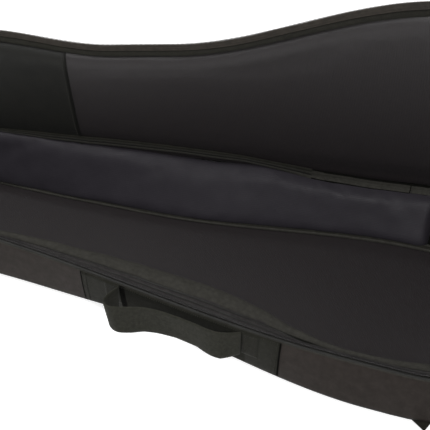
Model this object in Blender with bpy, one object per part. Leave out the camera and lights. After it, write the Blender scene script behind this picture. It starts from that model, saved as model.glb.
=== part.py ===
"""Padded gig bag for a guitar, lying on its back with the lid raised on its long side.

X runs along the bag from the headstock end to the body end, Y from the handle side to the
hinge side, and Z up from the outside of the back. The origin is on the back's outer face,
at mid length on the centre line.
"""

import math

import bmesh
import bpy
from mathutils import Matrix, Vector

# Overall sizes of the bag, in metres.
BAG_LENGTH = 1.056
BACK_NECK_WIDTH = 0.220
BACK_BODY_WIDTH = 0.356
RIM_HEIGHT = 0.082
RIM_STACK = 0.007

# Where the back widens from the neck to the body, and how its two ends are rounded.
BACK_FLARE_START = -0.16
BACK_FLARE_END = 0.32
HEAD_ROUND = 0.07
BODY_ROUND = 0.17
ROUND_POWER = 0.8
END_LEAN = 0.006

# The back is pieced round a centre cut, which widens between the two shoulder straps.
CENTRE_FROM = -0.110
CENTRE_TO = 0.240
CENTRE_NARROW = 0.018
CENTRE_WIDE = 0.070

# The rim's front edge tapers evenly, and its rear edge is the straight hinge line.
RIM_HEAD_HALF = 0.100
RIM_BODY_HALF = 0.162
RIM_TAPER_START = -0.42
RIM_TAPER_END = 0.26
HINGE_OFFSET = 0.193
HINGE_SKEW = math.radians(9.06)

# The mouth is the inner edge of the rim's binding.
MOUTH_NECK_HALF = 0.086
MOUTH_BODY_HALF = 0.150
MOUTH_FLARE_START = -0.03
MOUTH_FLARE_END = 0.26
RIM_BAND_LEAST = 0.022

# The lid's free edge follows the guitar: headstock, neck and body.
LID_HEAD_HALF = 0.121
LID_NECK_HALF = 0.083
LID_BODY_HALF = 0.165
LID_HEAD_START = -0.16
LID_HEAD_END = -0.40
LID_FLARE_START = -0.08
LID_FLARE_END = 0.33
LID_SHORTER = 0.006
LID_OPEN = math.radians(84.4)

# Cloth and padding.
GAP = 0.0003
OUTER_CLOTH = 0.0012
FOAM = 0.008
FOAM_PIECES = 4
LINING_CLOTH = 0.0015
REAR_LINING_PAD = 0.004
FLOOR_CLEAR = 0.001
FLOOR_BINDING_WIDTH = 0.006
FLOOR_BINDING_HEIGHT = 0.0035

# Zip tapes, coils and bindings round the rim and the lid.
TAPE_WIDTH = 0.017
TAPE_THICK = 0.0012
COIL_WIDTH = 0.0045
COIL_HEIGHT = 0.0024
BINDING_WIDTH = 0.013
BINDING_THICK = 0.0017
RIM_BINDING_WIDTH = 0.009
RIM_BINDING_HEIGHT = 0.005
HINGE_BINDING_WIDTH = 0.016
HINGE_BINDING_THICK = 0.003
HINGE_CLEAR = 0.002
LID_CLEAR = 0.0005
GUARD_CLOTH = 0.0014
GUARD_SEAM_X = -0.252
GUARD_SEAM_LEAN = 0.022
GUARD_MARGIN = 0.003
END_GUARD_THICK = 0.002
END_GUARD_STAND = 0.003
END_GUARD_REACH = 4
END_GUARD_LOW = 0.022
END_GUARD_HIGH = 0.072

# Handle on the front wall.
PATCH_FROM = -0.163
PATCH_TO = 0.174
PATCH_CLOTH = 0.0015
PATCH_STAND = 0.0012
PATCH_MARGIN = 0.002
HANDLE_FROM = -0.101
HANDLE_TO = 0.112
HANDLE_WIDTH = 0.050
HANDLE_THICK = 0.003
HANDLE_REACH = 0.045
HANDLE_TOP = 0.014
HANDLE_TILT = math.radians(20)
ANCHOR_LENGTH = 0.026
ANCHOR_STAND = 0.001

# Hanging loop at the headstock end.
LOOP_WIDTH = 0.025
LOOP_THICK = 0.002
LOOP_REACH = 0.045
LOOP_SPAN = 0.036
LOOP_TOP = 0.012
LOOP_TILT = math.radians(10)
ARCH_STEPS = 16
ARCH_POWER = 0.6

# Shoulder straps under the back.
PAD_WIDTH = 0.062
PAD_THICK = 0.011
PAD_START_X = -0.150
PAD_START_Y = 0.045
PAD_END_X = 0.270
PAD_END_Y = 0.118
PAD_BOW = 0.022
PAD_STEPS = 14
WEBBING_WIDTH = 0.025
WEBBING_THICK = 0.0016
BUCKLE_LENGTH = 0.036
BUCKLE_WIDTH = 0.036
BUCKLE_THICK = 0.0055
BUCKLE_BAR = 0.005
BUCKLE_DROP = 0.003
WEBBING_BEND = 0.2
STRAP_ANCHOR_X = 0.412
STRAP_ANCHOR_Y = 0.166
TAB_INNER = 0.030
TAB_OUTER = 0.010
TAB_NARROW = 0.028
TAB_WIDE = 0.050
STRAP_CLOTH = 0.0015
YOKE_LENGTH = 0.085
YOKE_WIDTH = 0.165

# Pocket on the outside of the lid.
POCKET_FROM = 0.045
POCKET_TO = 0.440
POCKET_MARGIN = 0.060
POCKET_CLOTH = 0.0022
POCKET_STEPS = 10
POCKET_ZIP_FROM = 0.110
POCKET_ZIP_LENGTH = 0.250
POCKET_ZIP_WIDTH = 0.024
POCKET_ZIP_IN = 0.085

# Zip sliders and their pulls.
SLIDER_LENGTH = 0.016
SLIDER_WIDTH = 0.011
SLIDER_PLATE = 0.0014
SLIDER_EDGE_CLEAR = 0.0025
SLIDER_WEB = 0.002
LUG_LENGTH = 0.0056
LUG_HEIGHT = 0.0038
LUG_WIDTH = 0.003
LUG_BAR = 0.0012
PULL_LENGTH = 0.030
PULL_WIDTH = 0.009
PULL_THICK = 0.0014
PULL_BAR = 0.0016
PULL_EYE = 0.006

# Stations along each outline, and the parts of the loop that they mark.
ARC_STEPS = 5
SHARP_CORNER = math.radians(40)
RUN_STEPS = 28
SIDE_STEPS = 2 * ARC_STEPS + RUN_STEPS
BODY_SPAN = (ARC_STEPS + RUN_STEPS, SIDE_STEPS + ARC_STEPS)
FRONT_SPAN = (ARC_STEPS, BODY_SPAN[0])
REAR_SPAN = (BODY_SPAN[1], BODY_SPAN[1] + RUN_STEPS)
HEAD_SPAN = (REAR_SPAN[1] - 2 * SIDE_STEPS, ARC_STEPS)
OPEN_SPAN = (HEAD_SPAN[0], BODY_SPAN[1])
SPAN_TRIM = 0.02
SLIDER_STATION = 2

# Depths in the wall, and heights of the layers in the back, the rim and the lid.
HINGE_HEIGHT = RIM_HEIGHT + RIM_STACK
WALL_FOOT = OUTER_CLOTH + GAP
FOAM_IN = OUTER_CLOTH + GAP
LINING_IN = FOAM_IN + FOAM + GAP
FLOOR_IN = LINING_IN + REAR_LINING_PAD + FLOOR_CLEAR
FLOOR_LINING_LOW = WALL_FOOT + FOAM + GAP
FLOOR_TOP = FLOOR_LINING_LOW + LINING_CLOTH
BINDING_TOP = FLOOR_TOP + GAP + FLOOR_BINDING_HEIGHT
PATCH_OUT = PATCH_STAND + PATCH_CLOTH
ANCHOR_OUT = PATCH_OUT + ANCHOR_STAND + HANDLE_THICK
RIM_LAYER = RIM_HEIGHT + GAP
LID_LOW = HINGE_HEIGHT + LID_CLEAR
LID_FOAM_LOW = LID_LOW + BINDING_THICK + GAP
LID_OUTER_LOW = LID_FOAM_LOW + FOAM + GAP
POCKET_LOW = LID_OUTER_LOW + OUTER_CLOTH + GAP
POCKET_ZIP_LOW = POCKET_LOW + POCKET_CLOTH + GAP

for existing in list(bpy.data.objects):
    bpy.data.objects.remove(existing, do_unlink=True)

bag = bpy.data.collections.new("padded_gig_bag")
bpy.context.scene.collection.children.link(bag)
helpers = bpy.data.collections.new("cutters")
helpers.hide_render = True
bpy.context.scene.collection.children.link(helpers)


def material(name, colour, roughness, metallic=0.0):
    made = bpy.data.materials.new(name)
    made.use_nodes = True
    shader = made.node_tree.nodes["Principled BSDF"]
    shader.inputs["Base Color"].default_value = (*colour, 1)
    shader.inputs["Roughness"].default_value = roughness
    shader.inputs["Metallic"].default_value = metallic
    return made


OUTER_FABRIC = material("outer_polyester", (0.036, 0.030, 0.027), 0.8)
TRICOT_FABRIC = material("tricot_lining", (0.026, 0.024, 0.026), 0.85)
SATIN_FABRIC = material("satin_lining", (0.027, 0.026, 0.030), 0.6)
BINDING_FABRIC = material("binding_tape", (0.034, 0.034, 0.030), 0.85)
TAPE_FABRIC = material("zip_tape", (0.030, 0.027, 0.033), 0.8)
WEBBING_FABRIC = material("webbing", (0.034, 0.034, 0.029), 0.8)
GUARD_FABRIC = material("guard_cloth", (0.012, 0.012, 0.010), 0.8)
FOAM_BLOCK = material("closed_cell_foam", (0.05, 0.05, 0.05), 0.9)
COIL_PLASTIC = material("zip_coil", (0.02, 0.02, 0.02), 0.45)
BUCKLE_PLASTIC = material("buckle_plastic", (0.015, 0.015, 0.015), 0.5)
SLIDER_METAL = material("slider_metal", (0.03, 0.03, 0.03), 0.4, 1.0)


def ease(x, start, end):
    """0 at start, 1 at end, level at both."""
    t = min(max((x - start) / (end - start), 0), 1)
    return t * t * (3 - 2 * t)


def back_rear(x):
    neck = BACK_NECK_WIDTH / 2
    return neck + (BACK_BODY_WIDTH / 2 - neck) * ease(x, BACK_FLARE_START, BACK_FLARE_END)


def back_front(x):
    return -back_rear(x)


def hinge_line(x):
    return HINGE_OFFSET + math.tan(HINGE_SKEW) * x


def rim_front(x):
    return -RIM_HEAD_HALF - (RIM_BODY_HALF - RIM_HEAD_HALF) * ease(x, RIM_TAPER_START, RIM_TAPER_END)


def mouth_front(x):
    flare = ease(x, MOUTH_FLARE_START, MOUTH_FLARE_END)
    sewn = MOUTH_NECK_HALF + (MOUTH_BODY_HALF - MOUTH_NECK_HALF) * flare
    return max(-sewn, rim_front(x) + RIM_BAND_LEAST)


def mouth_rear(x):
    return hinge_line(x) - RIM_BAND_LEAST


def lid_front(x):
    head = (LID_HEAD_HALF - LID_NECK_HALF) * ease(x, LID_HEAD_START, LID_HEAD_END)
    body = (LID_BODY_HALF - LID_NECK_HALF) * ease(x, LID_FLARE_START, LID_FLARE_END)
    return -LID_NECK_HALF - head - body


def lid_rear(x):
    return hinge_line(x) - HINGE_CLEAR


def outline(front, rear, half_length):
    """Closed loop of points: along the front from the head's tip, and back along the rear."""
    run_from = HEAD_ROUND - half_length
    run_to = half_length - BODY_ROUND
    stations = []
    for step in range(ARC_STEPS):
        turn = step / ARC_STEPS * math.pi / 2
        x = HEAD_ROUND * (1 - math.cos(turn) ** ROUND_POWER) - half_length
        stations.append((x, run_from, math.sin(turn) ** ROUND_POWER))
    for step in range(RUN_STEPS + 1):
        x = run_from + (run_to - run_from) * step / RUN_STEPS
        stations.append((x, x, 1))
    for step in reversed(range(ARC_STEPS)):
        turn = step / ARC_STEPS * math.pi / 2
        x = half_length - BODY_ROUND * (1 - math.cos(turn) ** ROUND_POWER)
        stations.append((x, run_to, math.sin(turn) ** ROUND_POWER))

    def side(edge):
        points = []
        for x, joined, spread in stations:
            middle = (front(joined) + rear(joined)) / 2
            points.append(Vector((x, middle + (edge(joined) - middle) * spread)))
        return points

    return side(front) + side(rear)[-2:0:-1]


def inward(loop, index):
    """Unit vector square to the loop at this point, towards its inside."""
    along = loop[(index + 1) % len(loop)] - loop[(index - 1) % len(loop)]
    return Vector((-along.y, along.x)).normalized()


def inset(loop, distance):
    return [point + inward(loop, index) * distance for index, point in enumerate(loop)]


def lid_loop(distance):
    """The lid's outline moved in from its free edge. The hinge side stays where it is."""
    edge = outline(lid_front, lid_rear, HALF_LENGTH - LID_SHORTER)
    hinged = slice(REAR_SPAN[0] + 1, REAR_SPAN[1])
    moved = inset(edge, distance)
    moved[hinged] = edge[hinged]
    return moved


def band(outer, inner, span):
    """Outline of the strip between two loops, over this span of stations."""
    stations = range(span[0], span[1] + 1)
    there = [outer[index % len(outer)] for index in stations]
    return there + [inner[index % len(inner)] for index in reversed(stations)]


def empty(name, pivot, turn=None, parent=None):
    """An empty on a joint's axis. Its pieces are drawn where they stand before it turns."""
    made = bpy.data.objects.new(name, None)
    bag.objects.link(made)
    made.matrix_basis = Matrix.Translation(pivot) @ (turn or Matrix.Identity(4))
    made["pivot"] = list(pivot)
    hang(made, parent)
    return made


def hang(piece, parent):
    if parent is not None:
        piece.parent = parent
        piece.matrix_parent_inverse = Matrix.Translation(-Vector(parent["pivot"]))


def link(name, data, look, parent=None):
    piece = bpy.data.objects.new(name, data)
    bag.objects.link(piece)
    data.materials.append(look)
    hang(piece, parent)
    return piece


def panel(name, loops, low, high, look, parent=None, place=None):
    """A flat piece: the first loop is its outline, and any others are holes."""
    curve = bpy.data.curves.new(name, "CURVE")
    curve.dimensions = "2D"
    curve.fill_mode = "BOTH"
    curve.extrude = (high - low) / 2
    for loop in loops:
        spline = curve.splines.new("POLY")
        spline.points.add(len(loop) - 1)
        spline.use_cyclic_u = True
        for point, corner in zip(spline.points, loop):
            point.co = (corner[0], corner[1], 0, 1)
    piece = link(name, curve, look, parent)
    lift = Matrix.Translation((0, 0, (low + high) / 2))
    piece.matrix_basis = (place or Matrix.Identity(4)) @ lift
    return piece


def loft(name, sections, look, parent=None):
    """A solid through sections with equal numbers of points. Each side's split follows its slope."""
    mesh = bpy.data.meshes.new(name)
    count = len(sections[0])
    points = [point for section in sections for point in section]
    faces = [list(range(count)), list(range(len(points) - count, len(points)))]
    for start in range(0, len(points) - count, count):
        for corner in range(count):
            near = start + corner
            beside = start + (corner + 1) % count
            if points[near].z > points[beside].z:
                near, beside = beside, near
            faces.append([near, beside, beside + count])
            faces.append([near, beside + count, near + count])
    mesh.from_pydata(points, [], faces)
    shape = bmesh.new()
    shape.from_mesh(mesh)
    bmesh.ops.recalc_face_normals(shape, faces=shape.faces)
    shape.to_mesh(mesh)
    shape.free()
    mesh.shade_smooth()
    mesh.set_sharp_from_angle(angle=SHARP_CORNER)
    return link(name, mesh, look, parent)


HALF_LENGTH = BAG_LENGTH / 2
back_loop = outline(back_front, back_rear, HALF_LENGTH)
rim_loop = outline(rim_front, hinge_line, HALF_LENGTH + END_LEAN)
mouth_loop = outline(mouth_front, mouth_rear, HALF_LENGTH + END_LEAN - RIM_BAND_LEAST)


def station_frame(index):
    """Foot and top of the wall's outer face, and its inward step per unit of depth."""
    index %= len(back_loop)
    foot = back_loop[index]
    top = rim_loop[index]
    square = inward(back_loop, index) + inward(rim_loop, index)
    square.normalize()
    lean = (top - foot).dot(square) / (RIM_HEIGHT - WALL_FOOT)
    return foot, top, square * math.hypot(1, lean)


def wall_point(station, depth, height):
    """Point of the wall at a fractional station, this deep from its outer face."""
    first = math.floor(station)
    share = station - first
    rise = (height - WALL_FOOT) / (RIM_HEIGHT - WALL_FOOT)
    spot = Vector((0, 0))
    for index, weight in ((first, 1 - share), (first + 1, share)):
        foot, top, step = station_frame(index)
        spot += (foot.lerp(top, rise) + step * depth) * weight
    return Vector((spot.x, spot.y, height))


def front_station(x):
    """Fractional station of the front wall at this x."""
    for index in range(*FRONT_SPAN):
        if back_loop[index + 1].x >= x:
            break
    return index + (x - back_loop[index].x) / (back_loop[index + 1].x - back_loop[index].x)


def wall_layer(name, span, outer, inner, look, low=WALL_FOOT, high=RIM_HEIGHT):
    """One layer of the wall over a span of stations, between two depths and two heights."""
    start, end = span
    stations = [start + SPAN_TRIM]
    stations += range(math.floor(start) + 1, math.ceil(end))
    stations.append(end - SPAN_TRIM)
    corners = ((outer, low), (outer, high), (inner, high), (inner, low))
    sections = [[wall_point(station, *corner) for corner in corners] for station in stations]
    return loft(name, sections, look)


def arch(name, start, end, out, down, reach, width, thick, look, parent=None):
    """A webbing loop: it leaves its start square to the wall and comes back at its end."""
    along = (end - start).normalized()
    half = (end - start).length / 2 - thick / 2
    middle = (start + end) / 2
    path = []
    for step in range(ARCH_STEPS + 1):
        turn = math.pi * step / ARCH_STEPS
        level = math.copysign(abs(math.cos(turn)) ** ARCH_POWER, math.cos(turn))
        path.append((-half * level, (reach - thick / 2) * math.sin(turn) ** ARCH_POWER))
    sections = []
    for step, (run, stand) in enumerate(path):
        before = path[max(step - 1, 0)]
        after = path[min(step + 1, ARCH_STEPS)]
        tangent = Vector((after[0] - before[0], after[1] - before[1])).normalized()
        if step in (0, ARCH_STEPS):
            tangent = Vector((0, 1 if step == 0 else -1))
        side = (along * -tangent.y + out * tangent.x) * (thick / 2)
        spot = middle + along * run + out * stand
        sections.append([spot - side, spot + side, spot + side + down * width, spot - side + down * width])
    return loft(name, sections, look, parent)


# Back: the outer cloth in two cuts under everything, then foam, lining and binding inside the walls.
centre_cut = [
    Vector((CENTRE_FROM, -CENTRE_NARROW)), Vector((CENTRE_TO, -CENTRE_WIDE)),
    Vector((CENTRE_TO, CENTRE_WIDE)), Vector((CENTRE_FROM, CENTRE_NARROW)),
]
panel("back_outer", [back_loop, centre_cut], 0, OUTER_CLOTH, OUTER_FABRIC)
panel("back_centre", [inset(centre_cut, GAP)], 0, OUTER_CLOTH, OUTER_FABRIC)
floor_loop = []
for index in range(len(back_loop)):
    step = station_frame(index)[2]
    foot = wall_point(index, FLOOR_IN, WALL_FOOT)
    top = wall_point(index, FLOOR_IN, BINDING_TOP)
    floor_loop.append((foot if foot.xy.dot(step) > top.xy.dot(step) else top).xy)
panel("back_foam", [floor_loop], WALL_FOOT, WALL_FOOT + FOAM, FOAM_BLOCK)
panel("floor_lining", [floor_loop], FLOOR_LINING_LOW, FLOOR_TOP, TRICOT_FABRIC)
floor_inner = inset(floor_loop, FLOOR_BINDING_WIDTH)
panel("floor_binding", [floor_loop, floor_inner], FLOOR_TOP + GAP, BINDING_TOP, BINDING_FABRIC)

# Walls: outer cloth, foam and lining, with the rear wall apart from the strip round the rest. The long
# walls' foam is cut in pieces, so that it follows their curves.
wall_layer("gusset_outer", OPEN_SPAN, 0, OUTER_CLOTH, OUTER_FABRIC)
wall_layer("rear_wall_outer", REAR_SPAN, 0, OUTER_CLOTH, OUTER_FABRIC)
wall_layer("head_wall_foam", HEAD_SPAN, FOAM_IN, FOAM_IN + FOAM, FOAM_BLOCK)
wall_layer("body_wall_foam", BODY_SPAN, FOAM_IN, FOAM_IN + FOAM, FOAM_BLOCK)
for side, span in (("front", FRONT_SPAN), ("rear", REAR_SPAN)):
    for piece in range(FOAM_PIECES):
        start = span[0] + RUN_STEPS // FOAM_PIECES * piece
        piece_span = (start, start + RUN_STEPS // FOAM_PIECES)
        wall_layer(f"{side}_wall_foam_{piece + 1}", piece_span, FOAM_IN, FOAM_IN + FOAM, FOAM_BLOCK)
wall_layer("gusset_lining", OPEN_SPAN, LINING_IN, LINING_IN + LINING_CLOTH, SATIN_FABRIC)
wall_layer("rear_wall_lining", REAR_SPAN, LINING_IN, LINING_IN + REAR_LINING_PAD, SATIN_FABRIC)
end_guard_in = LINING_IN + LINING_CLOTH + END_GUARD_STAND
end_guard_span = (SIDE_STEPS - END_GUARD_REACH, SIDE_STEPS + END_GUARD_REACH)
wall_layer(
    "end_guard", end_guard_span, end_guard_in, end_guard_in + END_GUARD_THICK, GUARD_FABRIC,
    END_GUARD_LOW, END_GUARD_HIGH,
)

# Rim: zip tape with its coil on the outer edge, binding on the inner edge, and the hinge's binding.
tape_inner = [
    point - inward(mouth_loop, index) * (RIM_BINDING_WIDTH + GAP) for index, point in enumerate(mouth_loop)
]
binding_outer = [
    point - inward(mouth_loop, index) * RIM_BINDING_WIDTH for index, point in enumerate(mouth_loop)
]
panel(
    "zip_tape_lower", [band(rim_loop, tape_inner, OPEN_SPAN)], RIM_LAYER, RIM_LAYER + TAPE_THICK, TAPE_FABRIC
)
coil_low = RIM_LAYER + TAPE_THICK + GAP
panel(
    "zip_coil_lower", [band(rim_loop, inset(rim_loop, COIL_WIDTH), OPEN_SPAN)],
    coil_low, coil_low + COIL_HEIGHT, COIL_PLASTIC,
)
panel(
    "rim_binding", [band(binding_outer, mouth_loop, OPEN_SPAN)],
    RIM_LAYER, RIM_LAYER + RIM_BINDING_HEIGHT, BINDING_FABRIC,
)
hinge_from = rim_loop[REAR_SPAN[1]].x + RIM_BAND_LEAST + GAP
hinge_to = rim_loop[REAR_SPAN[0]].x - RIM_BAND_LEAST - GAP
hinge_strip = [
    (hinge_from, hinge_line(hinge_from) - HINGE_CLEAR - HINGE_BINDING_WIDTH),
    (hinge_to, hinge_line(hinge_to) - HINGE_CLEAR - HINGE_BINDING_WIDTH),
    (hinge_to, hinge_line(hinge_to) - HINGE_CLEAR),
    (hinge_from, hinge_line(hinge_from) - HINGE_CLEAR),
]
panel("hinge_binding", [hinge_strip], RIM_LAYER, RIM_LAYER + HINGE_BINDING_THICK, BINDING_FABRIC)

# Handle: a patch sewn on the front wall, two sewn ends on it, and the loop that swings between them.
patch_span = (front_station(PATCH_FROM), front_station(PATCH_TO))
wall_layer(
    "handle_patch", patch_span, -PATCH_OUT, -PATCH_STAND, WEBBING_FABRIC,
    WALL_FOOT + PATCH_MARGIN, RIM_HEIGHT - PATCH_MARGIN,
)
handle_height = RIM_HEIGHT - HANDLE_TOP
for end, edge, away in (("head", HANDLE_FROM, -ANCHOR_LENGTH), ("body", HANDLE_TO, ANCHOR_LENGTH)):
    span = sorted((front_station(edge), front_station(edge + away)))
    wall_layer(
        "handle_anchor_" + end, span, -ANCHOR_OUT, -PATCH_OUT - ANCHOR_STAND, WEBBING_FABRIC,
        handle_height - HANDLE_WIDTH, handle_height,
    )
handle_start = wall_point(front_station(HANDLE_FROM), -ANCHOR_OUT, handle_height)
handle_end = wall_point(front_station(HANDLE_TO), -ANCHOR_OUT, handle_height)
handle_along = (handle_end - handle_start).normalized()
handle_out = handle_along.cross(Vector((0, 0, 1)))
handle_down = handle_out * math.sin(HANDLE_TILT) - Vector((0, 0, math.cos(HANDLE_TILT)))
handle_swing = empty("handle_swing", (handle_start + handle_end) / 2)
arch(
    "handle", handle_start, handle_end, handle_out, handle_down, HANDLE_REACH, HANDLE_WIDTH, HANDLE_THICK,
    WEBBING_FABRIC, handle_swing,
)

# Hanging loop: a webbing loop sewn to the headstock end, that swings up.
loop_middle = wall_point(0, -GAP, RIM_HEIGHT - LOOP_TOP)
loop_side = Vector((0, -LOOP_SPAN / 2, 0))
loop_out = Vector((-1, 0, 0))
loop_down = loop_out * math.sin(LOOP_TILT) - Vector((0, 0, math.cos(LOOP_TILT)))
loop_start = loop_middle - loop_side + loop_out * END_LEAN
loop_swing = empty("loop_swing", loop_middle + loop_out * END_LEAN)
arch(
    "hang_loop", loop_start, loop_start + 2 * loop_side, loop_out, loop_down, LOOP_REACH, LOOP_WIDTH,
    LOOP_THICK, WEBBING_FABRIC, loop_swing,
)

# Shoulder straps: a yoke and, on each side, a pad, a ladder-lock buckle, webbing through it and a corner tab.
yoke_to = PAD_START_X - GAP
yoke_from = yoke_to - YOKE_LENGTH
yoke_half = YOKE_WIDTH / 2
yoke = [(yoke_from, -yoke_half), (yoke_to, -yoke_half), (yoke_to, yoke_half), (yoke_from, yoke_half)]
panel("strap_yoke", [yoke], -GAP - STRAP_CLOTH, -GAP, WEBBING_FABRIC)
for side, sign in (("front", -1), ("rear", 1)):
    left = []
    right = []
    for step in range(PAD_STEPS + 1):
        share = step / PAD_STEPS
        x = PAD_START_X + (PAD_END_X - PAD_START_X) * share
        y = PAD_START_Y + (PAD_END_Y - PAD_START_Y) * share + PAD_BOW * math.sin(math.pi * share)
        left.append((x, sign * (y - PAD_WIDTH / 2)))
        right.append((x, sign * (y + PAD_WIDTH / 2)))
    panel("strap_pad_" + side, [left + right[::-1]], -GAP - PAD_THICK, -GAP, OUTER_FABRIC)

    tail = Vector((PAD_END_X + GAP, sign * PAD_END_Y))
    anchor = Vector((STRAP_ANCHOR_X, sign * STRAP_ANCHOR_Y))
    reach = (anchor - tail).length
    heading = math.atan2(anchor.y - tail.y, anchor.x - tail.x)
    turned = Matrix.Rotation(heading, 4, "Z")
    # The buckle's corner nearest the pad stays clear of it.
    set_off = abs(math.sin(heading)) * BUCKLE_WIDTH / 2
    place = Matrix.Translation((tail.x + set_off, tail.y, 0)) @ turned
    half = BUCKLE_WIDTH / 2
    slot = (BUCKLE_LENGTH - 3 * BUCKLE_BAR) / 2
    slot_half = half - BUCKLE_BAR
    frame = [(0, -half), (BUCKLE_LENGTH, -half), (BUCKLE_LENGTH, half), (0, half)]
    holes = []
    for start in (BUCKLE_BAR, 2 * BUCKLE_BAR + slot):
        end = start + slot
        holes.append([(start, -slot_half), (end, -slot_half), (end, slot_half), (start, slot_half)])
    panel(
        "strap_buckle_" + side, [frame, *holes], -BUCKLE_DROP - BUCKLE_THICK, -BUCKLE_DROP,
        BUCKLE_PLASTIC, None, place,
    )

    above = -GAP - WEBBING_THICK / 2 - (BUCKLE_DROP - WEBBING_THICK - 2 * GAP) / 2
    below = -BUCKLE_DROP - BUCKLE_THICK - GAP - WEBBING_THICK / 2
    sewn = -2 * GAP - STRAP_CLOTH - WEBBING_THICK / 2
    bar_two = BUCKLE_BAR + slot
    bend = slot * WEBBING_BEND
    path = [
        (BUCKLE_BAR / 2, above), (BUCKLE_BAR + bend, above), (bar_two - bend, below),
        (bar_two + BUCKLE_BAR + bend, below), (BUCKLE_LENGTH - BUCKLE_BAR - bend, above),
        (BUCKLE_LENGTH, above), (reach - set_off - TAB_INNER - BUCKLE_BAR, above),
        (reach - set_off - TAB_INNER, sewn), (reach - set_off, sewn),
    ]
    sections = []
    for step, (run, height) in enumerate(path):
        before = path[max(step - 1, 0)]
        after = path[min(step + 1, len(path) - 1)]
        slope = Vector((after[0] - before[0], after[1] - before[1])).normalized()
        rise = Vector((-slope.y, slope.x)) * WEBBING_THICK / 2
        corners = [(-1, -1), (1, -1), (1, 1), (-1, 1)]
        sections.append([
            place @ Vector((run + up * rise.x, across * WEBBING_WIDTH / 2, height + up * rise.y))
            for across, up in corners
        ])
    loft("strap_webbing_" + side, sections, WEBBING_FABRIC)
    tab = [
        (reach - set_off - TAB_INNER, -TAB_NARROW / 2), (reach - set_off + TAB_OUTER, -TAB_WIDE / 2),
        (reach - set_off + TAB_OUTER, TAB_WIDE / 2), (reach - set_off - TAB_INNER, TAB_NARROW / 2),
    ]
    panel("strap_tab_" + side, [tab], -GAP - STRAP_CLOTH, -GAP, WEBBING_FABRIC, None, place)

# Lid: drawn shut, then turned open about the hinge line with everything that it carries.
hinge_along = Vector((math.cos(HINGE_SKEW), math.sin(HINGE_SKEW), 0))
lid_hinge = empty(
    "lid_hinge", Vector((0, HINGE_OFFSET, HINGE_HEIGHT)), Matrix.Rotation(-LID_OPEN, 4, hinge_along)
)
lid_edge = lid_loop(0)
lid_tape_inner = lid_loop(TAPE_WIDTH)
lid_binding_outer = lid_loop(TAPE_WIDTH + GAP)
lid_binding_inner = lid_loop(TAPE_WIDTH + BINDING_WIDTH)
lid_lining_edge = lid_loop(TAPE_WIDTH + BINDING_WIDTH + GAP)
panel("lid_outer", [lid_tape_inner], LID_OUTER_LOW, LID_OUTER_LOW + OUTER_CLOTH, OUTER_FABRIC, lid_hinge)
panel("lid_foam", [lid_tape_inner], LID_FOAM_LOW, LID_FOAM_LOW + FOAM, FOAM_BLOCK, lid_hinge)
panel("lid_lining", [lid_lining_edge], LID_LOW, LID_LOW + LINING_CLOTH, TRICOT_FABRIC, lid_hinge)
panel(
    "lid_binding", [band(lid_binding_outer, lid_binding_inner, OPEN_SPAN)],
    LID_LOW, LID_LOW + BINDING_THICK, BINDING_FABRIC, lid_hinge,
)
panel(
    "zip_tape_upper", [band(lid_edge, lid_tape_inner, OPEN_SPAN)],
    LID_LOW, LID_LOW + TAPE_THICK, TAPE_FABRIC, lid_hinge,
)
lid_coil_low = LID_LOW + TAPE_THICK + GAP
panel(
    "zip_coil_upper", [band(lid_edge, lid_loop(COIL_WIDTH), OPEN_SPAN)],
    lid_coil_low, lid_coil_low + COIL_HEIGHT, COIL_PLASTIC, lid_hinge,
)
guard_edge = lid_loop(TAPE_WIDTH + BINDING_WIDTH + GUARD_MARGIN)
guard_hinge_x = GUARD_SEAM_X - GUARD_SEAM_LEAN
guard_stations = [
    index for index in range(OPEN_SPAN[0] - RUN_STEPS, BODY_SPAN[0])
    if guard_edge[index].x < (guard_hinge_x if index < OPEN_SPAN[0] else GUARD_SEAM_X)
]
guard = [guard_edge[index] for index in guard_stations]
guard.insert(0, Vector((guard_hinge_x, lid_rear(guard_hinge_x))))
guard.append(Vector((GUARD_SEAM_X, lid_front(GUARD_SEAM_X) + TAPE_WIDTH + BINDING_WIDTH + GUARD_MARGIN)))
panel("headstock_guard", [guard], LID_LOW - GAP - GUARD_CLOTH, LID_LOW - GAP, GUARD_FABRIC, lid_hinge)

# Pocket on the lid's outside, with a straight zip beside the hinge.
pocket_front = []
pocket_rear = []
for step in range(POCKET_STEPS + 1):
    x = POCKET_FROM + (POCKET_TO - POCKET_FROM) * step / POCKET_STEPS
    pocket_front.append((x, lid_front(x) + POCKET_MARGIN))
    pocket_rear.append((x, hinge_line(x) - POCKET_MARGIN))
panel(
    "pocket_panel", [pocket_front + pocket_rear[::-1]], POCKET_LOW, POCKET_LOW + POCKET_CLOTH,
    OUTER_FABRIC, lid_hinge,
)
zip_start = Vector((POCKET_ZIP_FROM, hinge_line(POCKET_ZIP_FROM) - POCKET_ZIP_IN, 0))
zip_place = Matrix.Translation(zip_start) @ Matrix.Rotation(HINGE_SKEW, 4, "Z")


def strip(length, width):
    return [(0, -width / 2), (length, -width / 2), (length, width / 2), (0, width / 2)]


panel(
    "pocket_zip_tape", [strip(POCKET_ZIP_LENGTH, POCKET_ZIP_WIDTH)], POCKET_ZIP_LOW,
    POCKET_ZIP_LOW + TAPE_THICK, TAPE_FABRIC, lid_hinge, zip_place,
)
pocket_coil_low = POCKET_ZIP_LOW + TAPE_THICK + GAP
panel(
    "pocket_zip_coil", [strip(POCKET_ZIP_LENGTH, COIL_WIDTH)], pocket_coil_low,
    pocket_coil_low + COIL_HEIGHT, COIL_PLASTIC, lid_hinge, zip_place,
)


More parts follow.
